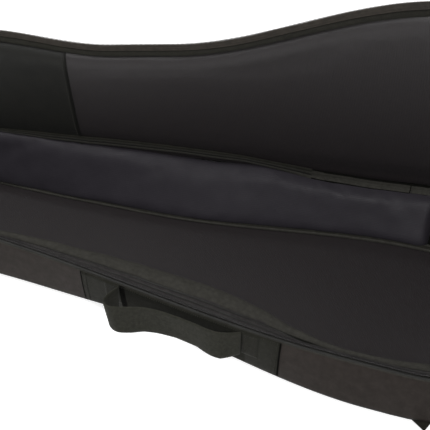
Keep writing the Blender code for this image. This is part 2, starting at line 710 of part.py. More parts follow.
def slider(name, profile, place, deck):
    """A slider of this cross-section with a lug on its deck, and the pull held in the lug."""
    half = SLIDER_LENGTH / 2
    carrier = empty("slide_" + name, place.translation, None, lid_hinge)
    ends = [[place @ Vector((run, across, height)) for across, height in profile] for run in (-half, half)]
    body = loft("zip_slider_" + name, ends, SLIDER_METAL, carrier)

    across = (profile[0][0] + profile[1][0]) / 2
    crown = deck + LUG_HEIGHT
    lug_half = LUG_LENGTH / 2
    bow = lug_half - LUG_BAR
    side = [
        (-lug_half, deck - SLIDER_PLATE / 2), (-bow, deck - SLIDER_PLATE / 2), (-bow, crown - LUG_BAR),
        (bow, crown - LUG_BAR), (bow, deck - SLIDER_PLATE / 2), (lug_half, deck - SLIDER_PLATE / 2),
        (lug_half, crown), (-lug_half, crown),
    ]
    walls = [
        [place @ Vector((run, across + reach * LUG_WIDTH / 2, height)) for run, height in side]
        for reach in (-1, 1)
    ]
    lug = loft("lug_" + name, walls, SLIDER_METAL, carrier)
    bag.objects.unlink(lug)
    helpers.objects.link(lug)
    lug.hide_render = True
    lug.display_type = "WIRE"
    joined = body.modifiers.new("lug", "BOOLEAN")
    joined.operation = "UNION"
    joined.solver = "EXACT"
    joined.object = lug

    pin = deck + (LUG_HEIGHT - LUG_BAR) / 2
    swing = empty("swing_" + name, place @ Vector((0, across, pin)), None, carrier)
    eye_half = LUG_WIDTH / 2 + GAP * 2
    half_width = PULL_WIDTH / 2
    bar = PULL_BAR / 2
    outer = [(-bar, -half_width), (PULL_LENGTH, -half_width), (PULL_LENGTH, half_width), (-bar, half_width)]
    eye = [(bar, -eye_half), (bar + PULL_EYE, -eye_half), (bar + PULL_EYE, eye_half), (bar, eye_half)]
    shift = place @ Matrix.Translation((0, across, 0))
    panel(
        "zip_pull_" + name, [outer, eye], pin - PULL_THICK / 2, pin + PULL_THICK / 2, SLIDER_METAL,
        swing, shift,
    )


# Main sliders: a channel round the edge of the lid's tape, parked near each end of the zip.
channel_top = lid_coil_low + COIL_HEIGHT + GAP
channel_low = LID_LOW - GAP
deck = channel_top + SLIDER_PLATE
foot = channel_low - SLIDER_PLATE
lip = -SLIDER_EDGE_CLEAR
web = lip - SLIDER_WEB
reach = lip + SLIDER_WIDTH
channel = [
    (web, deck), (reach, deck), (reach, channel_top), (lip, channel_top),
    (lip, channel_low), (reach, channel_low), (reach, foot), (web, foot),
]
for name, index in (("body", BODY_SPAN[1] - SLIDER_STATION), ("head", HEAD_SPAN[0] + SLIDER_STATION)):
    spot = lid_edge[index]
    square = inward(lid_edge, index)
    heading = math.atan2(-square.x, square.y)
    place = Matrix.Translation((spot.x, spot.y, 0)) @ Matrix.Rotation(heading, 4, "Z")
    slider(name, channel, place, deck)

# Pocket slider: a block that rides on the coil.
ride = pocket_coil_low + COIL_HEIGHT + GAP
block_half = SLIDER_WIDTH / 2
block_deck = ride + 2 * SLIDER_PLATE
block = [(-block_half, block_deck), (block_half, block_deck), (block_half, ride), (-block_half, ride)]
slider("pocket", block, zip_place @ Matrix.Translation((SLIDER_LENGTH, 0, 0)), block_deck)
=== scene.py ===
"""Padded gig bag lying open on its back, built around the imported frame.

X runs along the bag from the headstock end to the body end, Y from the handle side to the
hinge side, and Z up from the outside of the back. All sizes are in metres.
"""

import math

import bmesh
import bpy
import numpy as np
from mathutils import Matrix, Vector, noise
from mathutils.bvhtree import BVHTree


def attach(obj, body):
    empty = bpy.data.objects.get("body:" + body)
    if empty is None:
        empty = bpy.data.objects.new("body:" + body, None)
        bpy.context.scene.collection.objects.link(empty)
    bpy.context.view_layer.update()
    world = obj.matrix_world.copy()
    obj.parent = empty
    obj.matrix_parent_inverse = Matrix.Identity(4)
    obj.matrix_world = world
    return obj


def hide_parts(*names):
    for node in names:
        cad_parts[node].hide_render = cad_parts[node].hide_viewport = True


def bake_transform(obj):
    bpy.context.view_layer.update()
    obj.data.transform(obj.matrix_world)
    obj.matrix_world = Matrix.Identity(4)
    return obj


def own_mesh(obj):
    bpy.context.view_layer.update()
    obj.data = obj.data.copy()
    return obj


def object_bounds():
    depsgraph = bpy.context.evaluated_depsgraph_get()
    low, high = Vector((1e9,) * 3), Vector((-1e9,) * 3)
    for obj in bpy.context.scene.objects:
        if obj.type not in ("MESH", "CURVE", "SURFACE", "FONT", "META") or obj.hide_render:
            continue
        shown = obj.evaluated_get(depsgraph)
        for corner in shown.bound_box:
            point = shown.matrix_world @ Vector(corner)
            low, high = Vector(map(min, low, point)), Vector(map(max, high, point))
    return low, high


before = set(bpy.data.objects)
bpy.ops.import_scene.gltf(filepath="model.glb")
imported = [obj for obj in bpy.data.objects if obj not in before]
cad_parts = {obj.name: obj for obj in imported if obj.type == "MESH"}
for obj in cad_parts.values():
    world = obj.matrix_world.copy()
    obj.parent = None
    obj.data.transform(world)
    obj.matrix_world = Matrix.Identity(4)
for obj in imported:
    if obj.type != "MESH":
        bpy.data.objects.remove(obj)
cad_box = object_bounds()
scene = bpy.context.scene


# Studio: a pale seamless floor, a soft light close above the headstock end, one in front and above, and one
# over the floor behind. The camera looks down from the handle side through a long lens.
CAMERA_TARGET = Vector((-0.0151, 0.0870, 0.06))
CAMERA_TURN = math.radians(18.86)
CAMERA_RISE = math.radians(45)
CAMERA_DISTANCE = 2.508
CAMERA_LENS = 125.6
FLOOR_HALF = 6.0
FLOOR_DROP = 0.0004
PAPER_GLOW = 0.75
SURROUND = 0.26
SOFT_LIGHTS = (
    ("top_light", Vector((-0.66, -0.28, 1.35)), Vector((-0.05, 0.08, 0.05)), 0.75, 17),
    ("front_light", Vector((0.75, -1.4, 1.8)), Vector((0.12, 0.0, 0.15)), 0.8, 34),
    ("floor_light", Vector((0, 2.4, 1.8)), Vector((0, 2.6, 0)), 2.4, 60),
)


def linear(colour):
    """The linear RGBA of an sRGB hex colour."""
    parts = [int(colour[place : place + 2], 16) / 255 for place in (1, 3, 5)]
    return (*[part / 12.92 if part <= 0.04045 else ((part + 0.055) / 1.055) ** 2.4 for part in parts], 1)


def add(tree, kind, feeds=None, **settings):
    """Add a node with its settings. Each feed is a value for an input, or the output that joins it."""
    made = tree.nodes.new(kind)
    for name, value in settings.items():
        setattr(made, name, value)
    for socket, feed in (feeds or {}).items():
        if isinstance(feed, bpy.types.NodeSocket):
            tree.links.new(feed, made.inputs[socket])
        else:
            made.inputs[socket].default_value = feed
    return made


def new_material(name):
    """An empty node material and its tree."""
    made = bpy.data.materials.new(name)
    made.use_nodes = True
    made.node_tree.nodes.clear()
    return made, made.node_tree


camera_data = bpy.data.cameras.new("camera")
camera_data.lens = CAMERA_LENS
camera = bpy.data.objects.new("camera", camera_data)
towards = Vector((
    math.sin(CAMERA_TURN) * math.cos(CAMERA_RISE),
    -math.cos(CAMERA_TURN) * math.cos(CAMERA_RISE),
    math.sin(CAMERA_RISE),
))
camera.location = CAMERA_TARGET + towards * CAMERA_DISTANCE
camera.rotation_euler = towards.to_track_quat("Z", "Y").to_euler()
scene.collection.objects.link(camera)
scene.camera = camera

for name, place, aim, size, watts in SOFT_LIGHTS:
    light_data = bpy.data.lights.new(name, "AREA")
    light_data.energy = watts
    light_data.size = size
    light = bpy.data.objects.new(name, light_data)
    light.location = place
    light.rotation_euler = (place - aim).to_track_quat("Z", "Y").to_euler()
    scene.collection.objects.link(light)

world = bpy.data.worlds.new("white_surround")
world.use_nodes = True
world.node_tree.nodes["Background"].inputs["Color"].default_value = linear("#ffffff")
world.node_tree.nodes["Background"].inputs["Strength"].default_value = SURROUND
scene.world = world
scene.view_settings.view_transform = "Standard"

# Seamless paper: matt and nearly white, with the faint cloudiness of a large sheet. It is lit through from
# below, so it shows white with hardly a shadow.
paper, tree = new_material("seamless_paper")
spot = add(tree, "ShaderNodeTexCoord").outputs["Object"]
cloud = add(tree, "ShaderNodeTexNoise", {"Vector": spot, "Scale": 3.0}).outputs["Fac"]
tint = add(tree, "ShaderNodeMix", {
    0: cloud, 6: linear("#bdbdbd"), 7: linear("#c2c2c2"),
}, data_type="RGBA").outputs[2]
shader = add(tree, "ShaderNodeBsdfPrincipled", {
    "Base Color": tint, "Roughness": 0.9, "Emission Color": linear("#ffffff"), "Emission Strength": PAPER_GLOW,
})
add(tree, "ShaderNodeOutputMaterial", {"Surface": shader.outputs["BSDF"]})
floor_mesh = bpy.data.meshes.new("studio_floor")
floor_low = cad_box[0][2] - FLOOR_DROP
floor_mesh.from_pydata(
    [(x * FLOOR_HALF, y * FLOOR_HALF, floor_low) for x, y in ((-1, -1), (1, -1), (1, 1), (-1, 1))],
    [], [(0, 1, 2, 3)],
)
floor_mesh.materials.append(paper)
studio_floor = bpy.data.objects.new("studio_floor", floor_mesh)
scene.collection.objects.link(studio_floor)


# Back panel: one cut of woven polyester that closes the bag underneath, sewn into the foot of the
# walls all round. It lies flat and carries the shoulder straps.
BAG_HALF = 0.528
HEAD_ROUND = 0.07
BODY_ROUND = 0.17
ROUND_POWER = 0.8
ARC = 15
RUN = 84
SIDE = 2 * ARC + RUN
BACK_CLOTH = 0.0012
BACK_ACROSS = 24


def ease(x, start, end):
    """0 at start, 1 at end, level at both."""
    share = np.clip((x - start) / (end - start), 0, 1)
    return share * share * (3 - 2 * share)


def back_edge(x):
    """Half the width of the back at x: narrow along the neck, wide at the body."""
    return 0.1025 + 0.0075 * ease(x, -0.34, -0.12) + 0.068 * ease(x, -0.16, 0.32)


def outline(front, rear, half_length):
    """Front and rear edges of a panel: two runs of points from the head's tip to the body's tip."""
    turn = np.arange(ARC) / ARC * math.pi / 2
    bend = 1 - np.cos(turn) ** ROUND_POWER
    run_from = HEAD_ROUND - half_length
    run_to = half_length - BODY_ROUND
    run = np.linspace(run_from, run_to, RUN + 1)
    spread = np.sin(turn) ** ROUND_POWER
    x = np.concatenate([HEAD_ROUND * bend - half_length, run, half_length - BODY_ROUND * bend[::-1]])
    joined = np.clip(x, run_from, run_to)
    spread = np.concatenate([spread, np.ones(RUN + 1), spread[::-1]])
    middle = (front(joined) + rear(joined)) / 2
    return [np.stack([x, middle + (edge(joined) - middle) * spread], 1) for edge in (front, rear)]


def piece(name, points, faces, looks, layout, face_looks=None):
    """A closed mesh with its faces turned outwards. Its UV map holds the cloth's own layout."""
    mesh = bpy.data.meshes.new(name)
    mesh.from_pydata([tuple(point) for point in points], [], faces)
    for look in looks:
        mesh.materials.append(look)
    if face_looks is not None:
        mesh.polygons.foreach_set("material_index", face_looks)
    mesh.uv_layers.new(name="cloth").data.foreach_set("uv", np.asarray(layout, dtype=np.float32).ravel())
    shape = bmesh.new()
    shape.from_mesh(mesh)
    bmesh.ops.remove_doubles(shape, verts=shape.verts, dist=1e-6)
    bmesh.ops.recalc_face_normals(shape, faces=shape.faces)
    shape.to_mesh(mesh)
    shape.free()
    mesh.shade_smooth()
    made = bpy.data.objects.new(name, mesh)
    scene.collection.objects.link(made)
    return made


def pad(name, edges, across, upper, lower, looks):
    """Two skins sewn along one edge. upper and lower give their heights from the way in and x, y."""
    front, rear = edges
    even = np.linspace(0, 1, across)
    share = 0.2 * even + 0.8 * (0.5 - 0.5 * np.cos(math.pi * even))
    grid = front[:, None] * (1 - share[:, None]) + rear[:, None] * share[:, None]
    part = np.linspace(0, 1, 5)[:, None, None]
    rim = np.concatenate([(side[:-1] * (1 - part) + side[1:] * part).reshape(-1, 2) for side in edges])
    way_in = np.min(np.linalg.norm(grid[:, :, None] - rim, axis=3), axis=2)
    rows = len(front)
    way_in[[0, -1]] = 0
    way_in[:, [0, -1]] = 0
    points = []
    for skin in (upper, lower):
        height = skin(way_in, grid[:, :, 0], grid[:, :, 1])
        points.append(np.concatenate([grid, height[:, :, None]], 2).reshape(-1, 3))
    points = np.concatenate(points)
    first = np.arange(rows * across).reshape(rows, across)
    quads = np.stack([first[:-1, :-1], first[1:, :-1], first[1:, 1:], first[:-1, 1:]], 2).reshape(-1, 4)
    below = quads[:, ::-1] + rows * across
    edge = np.zeros((rows, across), bool)
    edge[[0, -1]] = True
    edge[:, [0, -1]] = True
    shared = np.arange(2 * rows * across)
    shared[rows * across :][edge.ravel()] = first[edge]
    faces = shared[np.concatenate([quads, below])]
    layout = points[faces.ravel()][:, :2]
    kinds = np.repeat([0, 1], len(quads))
    return piece(name, points, [tuple(dict.fromkeys(face)) for face in faces.tolist()], looks, layout, kinds)


def cloth(
    name, dark, light, yarns, knit=0.8, patches=0.006, roughness=0.8, sheen=0.03, relief=0.0004, gloss=0.12,
):
    """A cloth with its yarns this far apart (along, across), in cloudy patches of about `patches` metres."""
    made, tree = new_material(name)
    place = add(tree, "ShaderNodeUVMap", uv_map="cloth").outputs["UV"]
    spot = add(tree, "ShaderNodeTexCoord").outputs["Object"]
    waves = []
    for direction, spacing in zip("XY", yarns):
        wave = add(tree, "ShaderNodeTexWave", {
            "Vector": place, "Scale": math.pi / (10 * spacing), "Distortion": knit, "Detail Scale": 1.5,
        }, bands_direction=direction)
        waves.append(wave.outputs["Fac"])
    weave = add(tree, "ShaderNodeMath", {0: waves[0], 1: waves[1]}, operation="MULTIPLY").outputs[0]
    patch = add(tree, "ShaderNodeTexNoise", {
        "Vector": spot, "Scale": 1 / patches, "Detail": 6.0, "Roughness": 0.62,
    }).outputs["Fac"]
    level = add(tree, "ShaderNodeMapRange", {
        "Value": patch, "From Min": 0.32, "From Max": 0.68, "To Min": 0.0, "To Max": 0.75,
    }).outputs["Result"]
    shade = add(tree, "ShaderNodeMath", {
        0: weave, 1: 0.35, 2: level,
    }, operation="MULTIPLY_ADD", use_clamp=True).outputs[0]
    tint = add(tree, "ShaderNodeMix", {
        0: shade, 6: linear(dark), 7: linear(light),
    }, data_type="RGBA").outputs[2]
    rough = add(tree, "ShaderNodeMapRange", {
        "Value": patch, "From Min": 0.3, "From Max": 0.7,
        "To Min": roughness + 0.06, "To Max": roughness - 0.06,
    }).outputs["Result"]
    raised = add(tree, "ShaderNodeBump", {
        "Height": weave, "Strength": 0.7, "Distance": relief,
    }).outputs["Normal"]
    shader = add(tree, "ShaderNodeBsdfPrincipled", {
        "Base Color": tint, "Roughness": rough, "Normal": raised, "Specular IOR Level": gloss,
        "Sheen Weight": sheen, "Sheen Roughness": 0.45,
    })
    add(tree, "ShaderNodeOutputMaterial", {"Surface": shader.outputs["BSDF"]})
    return made


# Woven polyester: thick yarns in a plain weave. The eye sees a dull warm black with a faint grid and
# cloudy patches where the nap lies differently. The 0.6 mm yarns are drawn at 1.6 mm, or they would not show.
POLYESTER = cloth(
    "woven_polyester", "#1f1b18", "#282320", (0.0016, 0.0016), knit=0.6, patches=0.012, roughness=0.75,
    relief=0.0003,
)

back_edges = outline(lambda x: -back_edge(x), back_edge, BAG_HALF)
back_cloth = pad(
    "back_cloth", back_edges, BACK_ACROSS,
    lambda way_in, x, y: np.where(way_in > 0, BACK_CLOTH, BACK_CLOTH / 2),
    lambda way_in, x, y: np.where(way_in > 0, 0.0, BACK_CLOTH / 2),
    [POLYESTER, POLYESTER],
)
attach(back_cloth, "bag")
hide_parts("back_outer", "back_centre")


# Floor: a foam pad under brushed tricot that covers the inside of the back. The tricot is drawn round
# the foam, so the pad is flat in the middle and rolls down to the seam at the foot of the walls.
RIM_HEIGHT = 0.082
WALL_FOOT = 0.0015
HINGE_HEIGHT = 0.089
HINGE_OFFSET = 0.193
HINGE_SKEW = math.radians(9.06)
END_LEAN = 0.006
FLOOR_INSET = 0.0125
FLOOR_EDGE_UP = 0.012
FLOOR_ACROSS = 34
FLOOR_LOW = 0.0016
FLOOR_SEAM = 0.0085
FLOOR_RISE = 0.0042
FLOOR_ROLL = 0.028
FLOOR_UNDER_ROLL = 0.006
FLOOR_PUFF = 0.0012
SEWN_NEAR = 0.0001
SIM_FRAMES = 20


def hinge_line(x):
    """The y of the slanted line that the lid turns on."""
    return HINGE_OFFSET + math.tan(HINGE_SKEW) * x


def rim_edge(x):
    """The y of the front wall's top edge."""
    return -0.100 - 0.062 * ease(x, -0.42, 0.26)


def loop_of(edges):
    """One closed loop: along the front edge, and back along the rear."""
    return np.concatenate([edges[0], edges[1][-2:0:-1]])


def edges_of(loop):
    """The front and rear edges of such a loop."""
    return [loop[: SIDE + 1], np.concatenate([loop[:1], loop[: SIDE - 1 : -1]])]


def inward(loop):
    """Unit vectors square to the loop, towards its inside."""
    along = np.roll(loop, -1, 0) - np.roll(loop, 1, 0)
    square = np.stack([-along[:, 1], along[:, 0]], 1)
    return square / np.linalg.norm(square, axis=1, keepdims=True)


foot_loop = loop_of(back_edges)
rim_loop = loop_of(outline(rim_edge, hinge_line, BAG_HALF + END_LEAN))
wall_square = inward(foot_loop) + inward(rim_loop)
wall_square /= np.linalg.norm(wall_square, axis=1, keepdims=True)
STATIONS = len(foot_loop)


def wall(station, depth, height):
    """A point of the wall, this deep from its outer face and this high. Stations may be fractions."""
    first = math.floor(station)
    share = station - first
    rise = (height - WALL_FOOT) / (RIM_HEIGHT - WALL_FOOT)
    spot = np.zeros(2)
    for index, weight in ((first % STATIONS, 1 - share), ((first + 1) % STATIONS, share)):
        spot += (foot_loop[index] * (1 - rise) + rim_loop[index] * rise + wall_square[index] * depth) * weight
    return np.array((*spot, height))


def roll(way_in, reach):
    """0 at a seam and 1 from `reach` inwards, round like the edge of a pad."""
    return np.sqrt(1 - (1 - np.clip(way_in / reach, 0, 1)) ** 2)


def inflate(made, held, pressure, slack, limit):
    """Fill a sewn shell with air as cloth. held is 1 where a point is sewn, and limit is its longest move."""
    mesh = made.data
    start = np.array([vertex.co for vertex in mesh.vertices])
    group = made.vertex_groups.new(name="sewn")
    for index, point in enumerate(start):
        hold = held(point)
        if hold > 0:
            group.add([index], hold, "REPLACE")
    fabric = made.modifiers.new("cloth", "CLOTH")
    settings = fabric.settings
    settings.quality = 5
    settings.mass = 0.25
    settings.tension_stiffness = 18
    settings.compression_stiffness = 18
    settings.shear_stiffness = 6
    settings.bending_stiffness = 0.6
    settings.vertex_group_mass = "sewn"
    settings.use_pressure = True
    settings.uniform_pressure_force = pressure
    settings.shrink_min = -slack
    settings.effector_weights.gravity = 0
    fabric.collision_settings.use_collision = False
    for number in range(1, SIM_FRAMES + 1):
        scene.frame_set(number)
    settled = made.evaluated_get(bpy.context.evaluated_depsgraph_get()).to_mesh()
    end = np.array([vertex.co for vertex in settled.vertices])
    move = end - start
    length = np.linalg.norm(move, axis=1, keepdims=True)
    reach = np.array([limit(point) for point in start])[:, None]
    move *= reach * np.tanh(length / np.maximum(reach, 1e-9)) / np.maximum(length, 1e-9)
    made.modifiers.remove(fabric)
    made.vertex_groups.remove(group)
    mesh.vertices.foreach_set("co", (start + move).ravel().astype(np.float32))
    mesh.update()
    scene.frame_set(1)


# Brushed tricot: a fine warp knit with raised loops. The eye sees a soft purplish grey-black with no
# gloss, lighter where it turns away, and small pinkish flecks. The 0.5 mm wales are drawn at 1.3 mm.
TRICOT = cloth(
    "brushed_tricot", "#181516", "#1d191a", (0.0026, 0.0013), knit=1.5, patches=0.012, roughness=0.44,
    sheen=0.02, relief=0.0002, gloss=0.45,
)

floor_loop = np.array([wall(station, FLOOR_INSET, FLOOR_EDGE_UP)[:2] for station in range(STATIONS)])
floor_pad = pad(
    "floor_pad", edges_of(floor_loop), FLOOR_ACROSS,
    lambda way_in, x, y: FLOOR_SEAM + FLOOR_RISE * roll(way_in, FLOOR_ROLL),
    lambda way_in, x, y: FLOOR_SEAM - (FLOOR_SEAM - FLOOR_LOW) * roll(way_in, FLOOR_UNDER_ROLL),
    [TRICOT, TRICOT],
)
inflate(
    floor_pad, held=lambda point: float(point[2] < FLOOR_SEAM + SEWN_NEAR), pressure=1.2, slack=0.0,
    limit=lambda point: FLOOR_PUFF,
)
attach(floor_pad, "bag")
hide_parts("back_foam", "floor_lining")


# Floor binding: a narrow folded tape over the seam between the floor and the walls. It is sewn down
# all round and stands up as a soft bead.
FLOOR_BEAD = (0.0052, 0.0032)
FLOOR_BEAD_UP = 0.0128
FLOOR_BEAD_IN = 0.0030
BEAD_SIDES = 16
# Painted shade: two faces on the inner top of the floor bead take the darker shaded tape.
BEAD_SHADE = [0, 0, 1, 1] + [0] * 12


def sweep(name, sections, looks, ring=False, kinds=None):
    """A strip through closed cross-sections. Its layout runs along it and round it, in metres."""
    rows = np.array(sections)
    count, sides = rows.shape[:2]
    closed = np.concatenate([rows, rows[:1]]) if ring else rows
    steps = np.linalg.norm(np.diff(closed.mean(axis=1), axis=0), axis=1)
    along = np.concatenate([[0], np.cumsum(steps)])
    round_steps = np.linalg.norm(np.roll(rows, -1, 1) - rows, axis=2).mean(axis=0)
    around = np.concatenate([[0], np.cumsum(round_steps)])
    faces = []
    layout = []
    for row in range(len(closed) - 1):
        here = row * sides
        there = (row + 1) % count * sides
        for side in range(sides):
            beside = (side + 1) % sides
            faces.append((here + side, here + beside, there + beside, there + side))
            layout += [
                (along[row], around[side]), (along[row], around[side + 1]),
                (along[row + 1], around[side + 1]), (along[row + 1], around[side]),
            ]
    face_looks = [0 if kinds is None else kinds[index % len(kinds)] for index in range(len(faces))]
    if not ring:
        for start in (0, (count - 1) * sides):
            faces.append(tuple(range(start, start + sides)))
            layout += [(0, distance) for distance in around[:-1]]
            face_looks.append(0)
    return piece(name, rows.reshape(-1, 3), faces, looks, layout, face_looks)


def bead(spot, across, up, half_width, half_height):
    """An oval cross-section about spot."""
    turns = np.arange(BEAD_SIDES) * 2 * math.pi / BEAD_SIDES
    return [spot + across * half_width * math.cos(turn) + up * half_height * math.sin(turn) for turn in turns]


def ripple(x, y, size, seed):
    """A smooth wander between -1 and 1, with waves about `size` metres long."""
    return noise.noise(Vector((x / size, y / size, seed)))


# Binding tape: a ribbed polyester ribbon. The eye sees a matt greenish grey with fine ribs across it
# and a little fluff. The 0.8 mm ribs are drawn at 1.5 mm.
BINDING = cloth("binding_tape", "#22211e", "#302f2b", (0.0015, 0.0040))
# Painted shade: the same ribbon drawn darker, put where binding lies in shade: the lid's binding, the
# hinge band's upper half, the cloth under the band and the floor bead's inner top.
SHADED_BINDING = cloth("shaded_binding_tape", "#151512", "#201f1b", (0.0015, 0.0040), gloss=0.06)

UP = np.array((0.0, 0.0, 1.0))
sections = []
for station in range(STATIONS):
    square = np.array((*wall_square[station], 0))
    spot = wall(station, FLOOR_INSET + FLOOR_BEAD_IN, FLOOR_BEAD_UP)
    spot[2] += 0.0006 * ripple(spot[0], spot[1], 0.03, 3.1)
    grown = 1.2 + 0.35 * ease(spot[0], -0.1, 0.25)
    sections.append(bead(spot, square, UP, grown * FLOOR_BEAD[0], grown * FLOOR_BEAD[1]))
floor_binding = sweep("floor_binding_bead", sections, [BINDING, SHADED_BINDING], ring=True, kinds=BEAD_SHADE)
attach(floor_binding, "bag")
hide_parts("floor_binding")


# Gusset: one padded strip round the front and the two ends, woven polyester outside and satin inside
# over foam. It is sewn to the back at its foot and turned over the foam at the top.
OPEN_STATIONS = range(-ARC, SIDE + ARC + 1)
WALL_DEPTH = 0.0113
WALL_BULGE = 0.0022
WALL_TOP = ((0.0006, 0.0803), (0.0024, 0.0816), (0.0054, 0.0820), (0.0086, 0.0815), (0.0106, 0.0800))
LINING_SPAN = (0.0130, 0.0775)
LINING_PUFF = 0.0030


def wall_bulge(station, height):
    """How far the outer cloth stands proud: fullest at half height, with slow waves along the bag."""
    rise = min(max((height - WALL_FOOT) / (RIM_HEIGHT - WALL_FOOT), 0), 1)
    spot = wall(station, 0, height)
    wave = 0.35 * ripple(spot[0], spot[1] + height, 0.11, 1.7)
    return WALL_BULGE * math.sin(math.pi * rise) ** 0.7 * (1 + wave)


def wall_section(station, puff):
    """The wall's closed cross-section: up the outside, over the top and down the inside."""
    section = [wall(station, 0.004, 0.0004), wall(station, 0.0012, 0.0006)]
    for height in (0.0022, 0.0036, *np.linspace(0.0085, 0.0785, 13)):
        section.append(wall(station, -wall_bulge(station, height), height))
    for depth, height in WALL_TOP:
        section.append(wall(station, depth, height))
    for height in np.linspace(LINING_SPAN[1], LINING_SPAN[0], 9):
        rise = (height - LINING_SPAN[0]) / (LINING_SPAN[1] - LINING_SPAN[0])
        spot = wall(station, 0, height)
        soft = puff * (math.sin(math.pi * rise) ** 0.6 + 0.4 * ripple(spot[0], height * 2, 0.06, 5.2))
        section.append(wall(station, WALL_DEPTH + max(soft, 0), height))
    section.append(wall(station, 0.0108, 0.0040))
    section.append(wall(station, 0.0085, 0.0016))
    return section


# Satin lining: smooth float-woven polyester over soft wadding. The eye sees a bluish black with broad
# soft highlights on the crowns and hardly any weave. The 0.2 mm yarns are drawn at 1 mm.
SATIN = cloth(
    "satin_lining", "#201e22", "#252327", (0.0010, 0.0030), patches=0.025, roughness=0.40, relief=0.0001,
    gloss=0.07,
)

# Coated cloth: a tight weave with a rubbed-in coating. The eye sees a flat greenish black, darker than
# the rest, with scuffed patches. The 0.5 mm yarns are drawn at 1.4 mm. The same dark cloth is also put
# as painted shade in grooves, in the zip tape's troughs and along the foot and top of the walls.
GUARD_AND_SHADE = cloth(
    "coated_cloth_and_painted_shade", "#0c0c0a", "#141411", (0.0014, 0.0014), knit=0.5, patches=0.02, roughness=0.5, sheen=0.02,
    relief=0.0002, gloss=0.2,
)

sections = [wall_section(station, LINING_PUFF) for station in OPEN_STATIONS]
# Painted shade and highlight: the three faces at the foot and the four over the top take the dark coated
# cloth, as painted shade along the foot and under the zip. The one face over the outer top edge takes the
# lighter binding tape, a piping that also stands for the edge's painted highlight.
wall_looks = [3] * 3 + [0] * 13 + [2] + [3] * 4 + [1] * (len(sections[0]) - 21)
gusset = sweep("gusset", sections, [POLYESTER, SATIN, BINDING, GUARD_AND_SHADE], kinds=wall_looks)
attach(gusset, "bag")
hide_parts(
    "gusset_outer", "gusset_lining", "head_wall_foam", "body_wall_foam",
    *[f"front_wall_foam_{number}" for number in range(1, 5)],
)


# Rear wall: the padded wall below the hinge, woven polyester over foam. Its inside is covered by the
# satin pad, and its top edge carries the hinge.
REAR_SPAN = (SIDE + ARC, SIDE + ARC + RUN)
# Painted shade: a nearly black cloth, put wherever cloth lies in its own shade: in folds and seams, in
# slits and deep behind other parts.
PAINTED_SHADE = cloth(
    "painted_shade_cloth", "#080807", "#0e0e0c", (0.0016, 0.0020), roughness=0.9, sheen=0.0, relief=0.0002,
    gloss=0.02,
)

# Painted shade: on the rear wall the inner faces, hidden behind the satin pad, take the nearly black shade
# cloth, and the foot and the top take the dark coated cloth as on the gusset.
sections = [wall_section(station, 0.0) for station in range(REAR_SPAN[0], REAR_SPAN[1] + 1)]
rear_wall = sweep("rear_wall", sections, [POLYESTER, PAINTED_SHADE, POLYESTER, GUARD_AND_SHADE], kinds=wall_looks)
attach(rear_wall, "bag")
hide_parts("rear_wall_outer", *[f"rear_wall_foam_{number}" for number in range(1, 5)])


# Rear lining: a long satin pad on the inside of the rear wall. It is sewn along the floor and behind the
# hinge band, a little too long for its place, so it puffs out, dents and hangs off the band in the middle.
LINING_ROWS = 170
LINING_STEPS = 19
LINING_BACK = 0.0112
LINING_DEEP = 0.0125
LINING_SKIN = 0.0012
LINING_END = 0.022
LINING_STOP = 3.0
LINING_HEAD_STOP = 0.4
LINING_LOW = 0.0125
LINING_FOOT = 0.012
LINING_CORNER = 0.012
LINING_OVER = 0.003
LINING_GIVE = 0.0018
STATION_RUN = 0.00971
CREST = (
    (-0.460, 0.1060), (-0.417, 0.1057), (-0.365, 0.1020), (-0.300, 0.0985), (-0.190, 0.0965),
    (-0.123, 0.0915), (-0.046, 0.0880), (-0.012, 0.0905), (0.040, 0.0930), (0.100, 0.0850),
    (0.149, 0.0815), (0.188, 0.0805), (0.252, 0.0800), (0.290, 0.0800),
)


def along_bag(x, table):
    """The value at x from rows of x and value."""
    return float(np.interp(x, *zip(*table)))


def lining_top(x):
    """Height of the lining's top edge. It is gathered where it hangs off the band."""
    loose = ease(x, -0.21, -0.10) * (1 - ease(x, 0.03, 0.08))
    gathers = 0.0007 * math.sin(x * 2 * math.pi / 0.0095) + 0.0008 * ripple(x, 0, 0.016, 1.1)
    return along_bag(x, CREST) + LINING_OVER + loose * gathers


sections = []
for station in np.linspace(REAR_SPAN[0] + LINING_STOP, REAR_SPAN[1] - LINING_HEAD_STOP, LINING_ROWS):
    end = min(station - REAR_SPAN[0] - LINING_STOP, REAR_SPAN[1] - station) * STATION_RUN
    x = wall(station, 0, RIM_HEIGHT)[0]
    top = lining_top(x) - LINING_CORNER * (1 - float(roll(end, LINING_CORNER)))
    soft = 0.018 - 0.008 * float(ease(x, -0.10, 0.25))
    section = []
    for share in 0.5 - 0.5 * np.cos(np.linspace(0, math.pi, LINING_STEPS)):
        height = LINING_LOW + (top - LINING_LOW) * share
        rolls = roll(height - LINING_LOW, LINING_FOOT) * roll(top - height, soft)
        crown = float(rolls * roll(end, LINING_END))
        dent = 1 + 0.16 * ripple(x, height * 1.5, 0.075, 8.3) + 0.05 * ripple(x, height * 2, 0.035, 2.9)
        section.append(wall(station, LINING_BACK + LINING_SKIN + LINING_DEEP * crown * dent, height))
    for share in (0.75, 0.5, 0.25):
        section.append(wall(station, LINING_BACK, LINING_LOW + (top - LINING_LOW) * share))
    sections.append(section)
rear_lining = sweep("rear_lining", sections, [SATIN])
lining_seams = (0, *range(LINING_STEPS - 1, LINING_STEPS + 3))
lining_sewn = {tuple(np.round(np.float32(row[side]), 5)) for row in sections for side in lining_seams}
inflate(
    rear_lining, held=lambda point: float(tuple(np.round(np.float32(point), 5)) in lining_sewn),
    pressure=1.2, slack=0.003, limit=lambda point: LINING_GIVE,
)
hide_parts("rear_wall_lining")
hinge_spot = Vector((0, HINGE_OFFSET, HINGE_HEIGHT))
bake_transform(rear_lining)


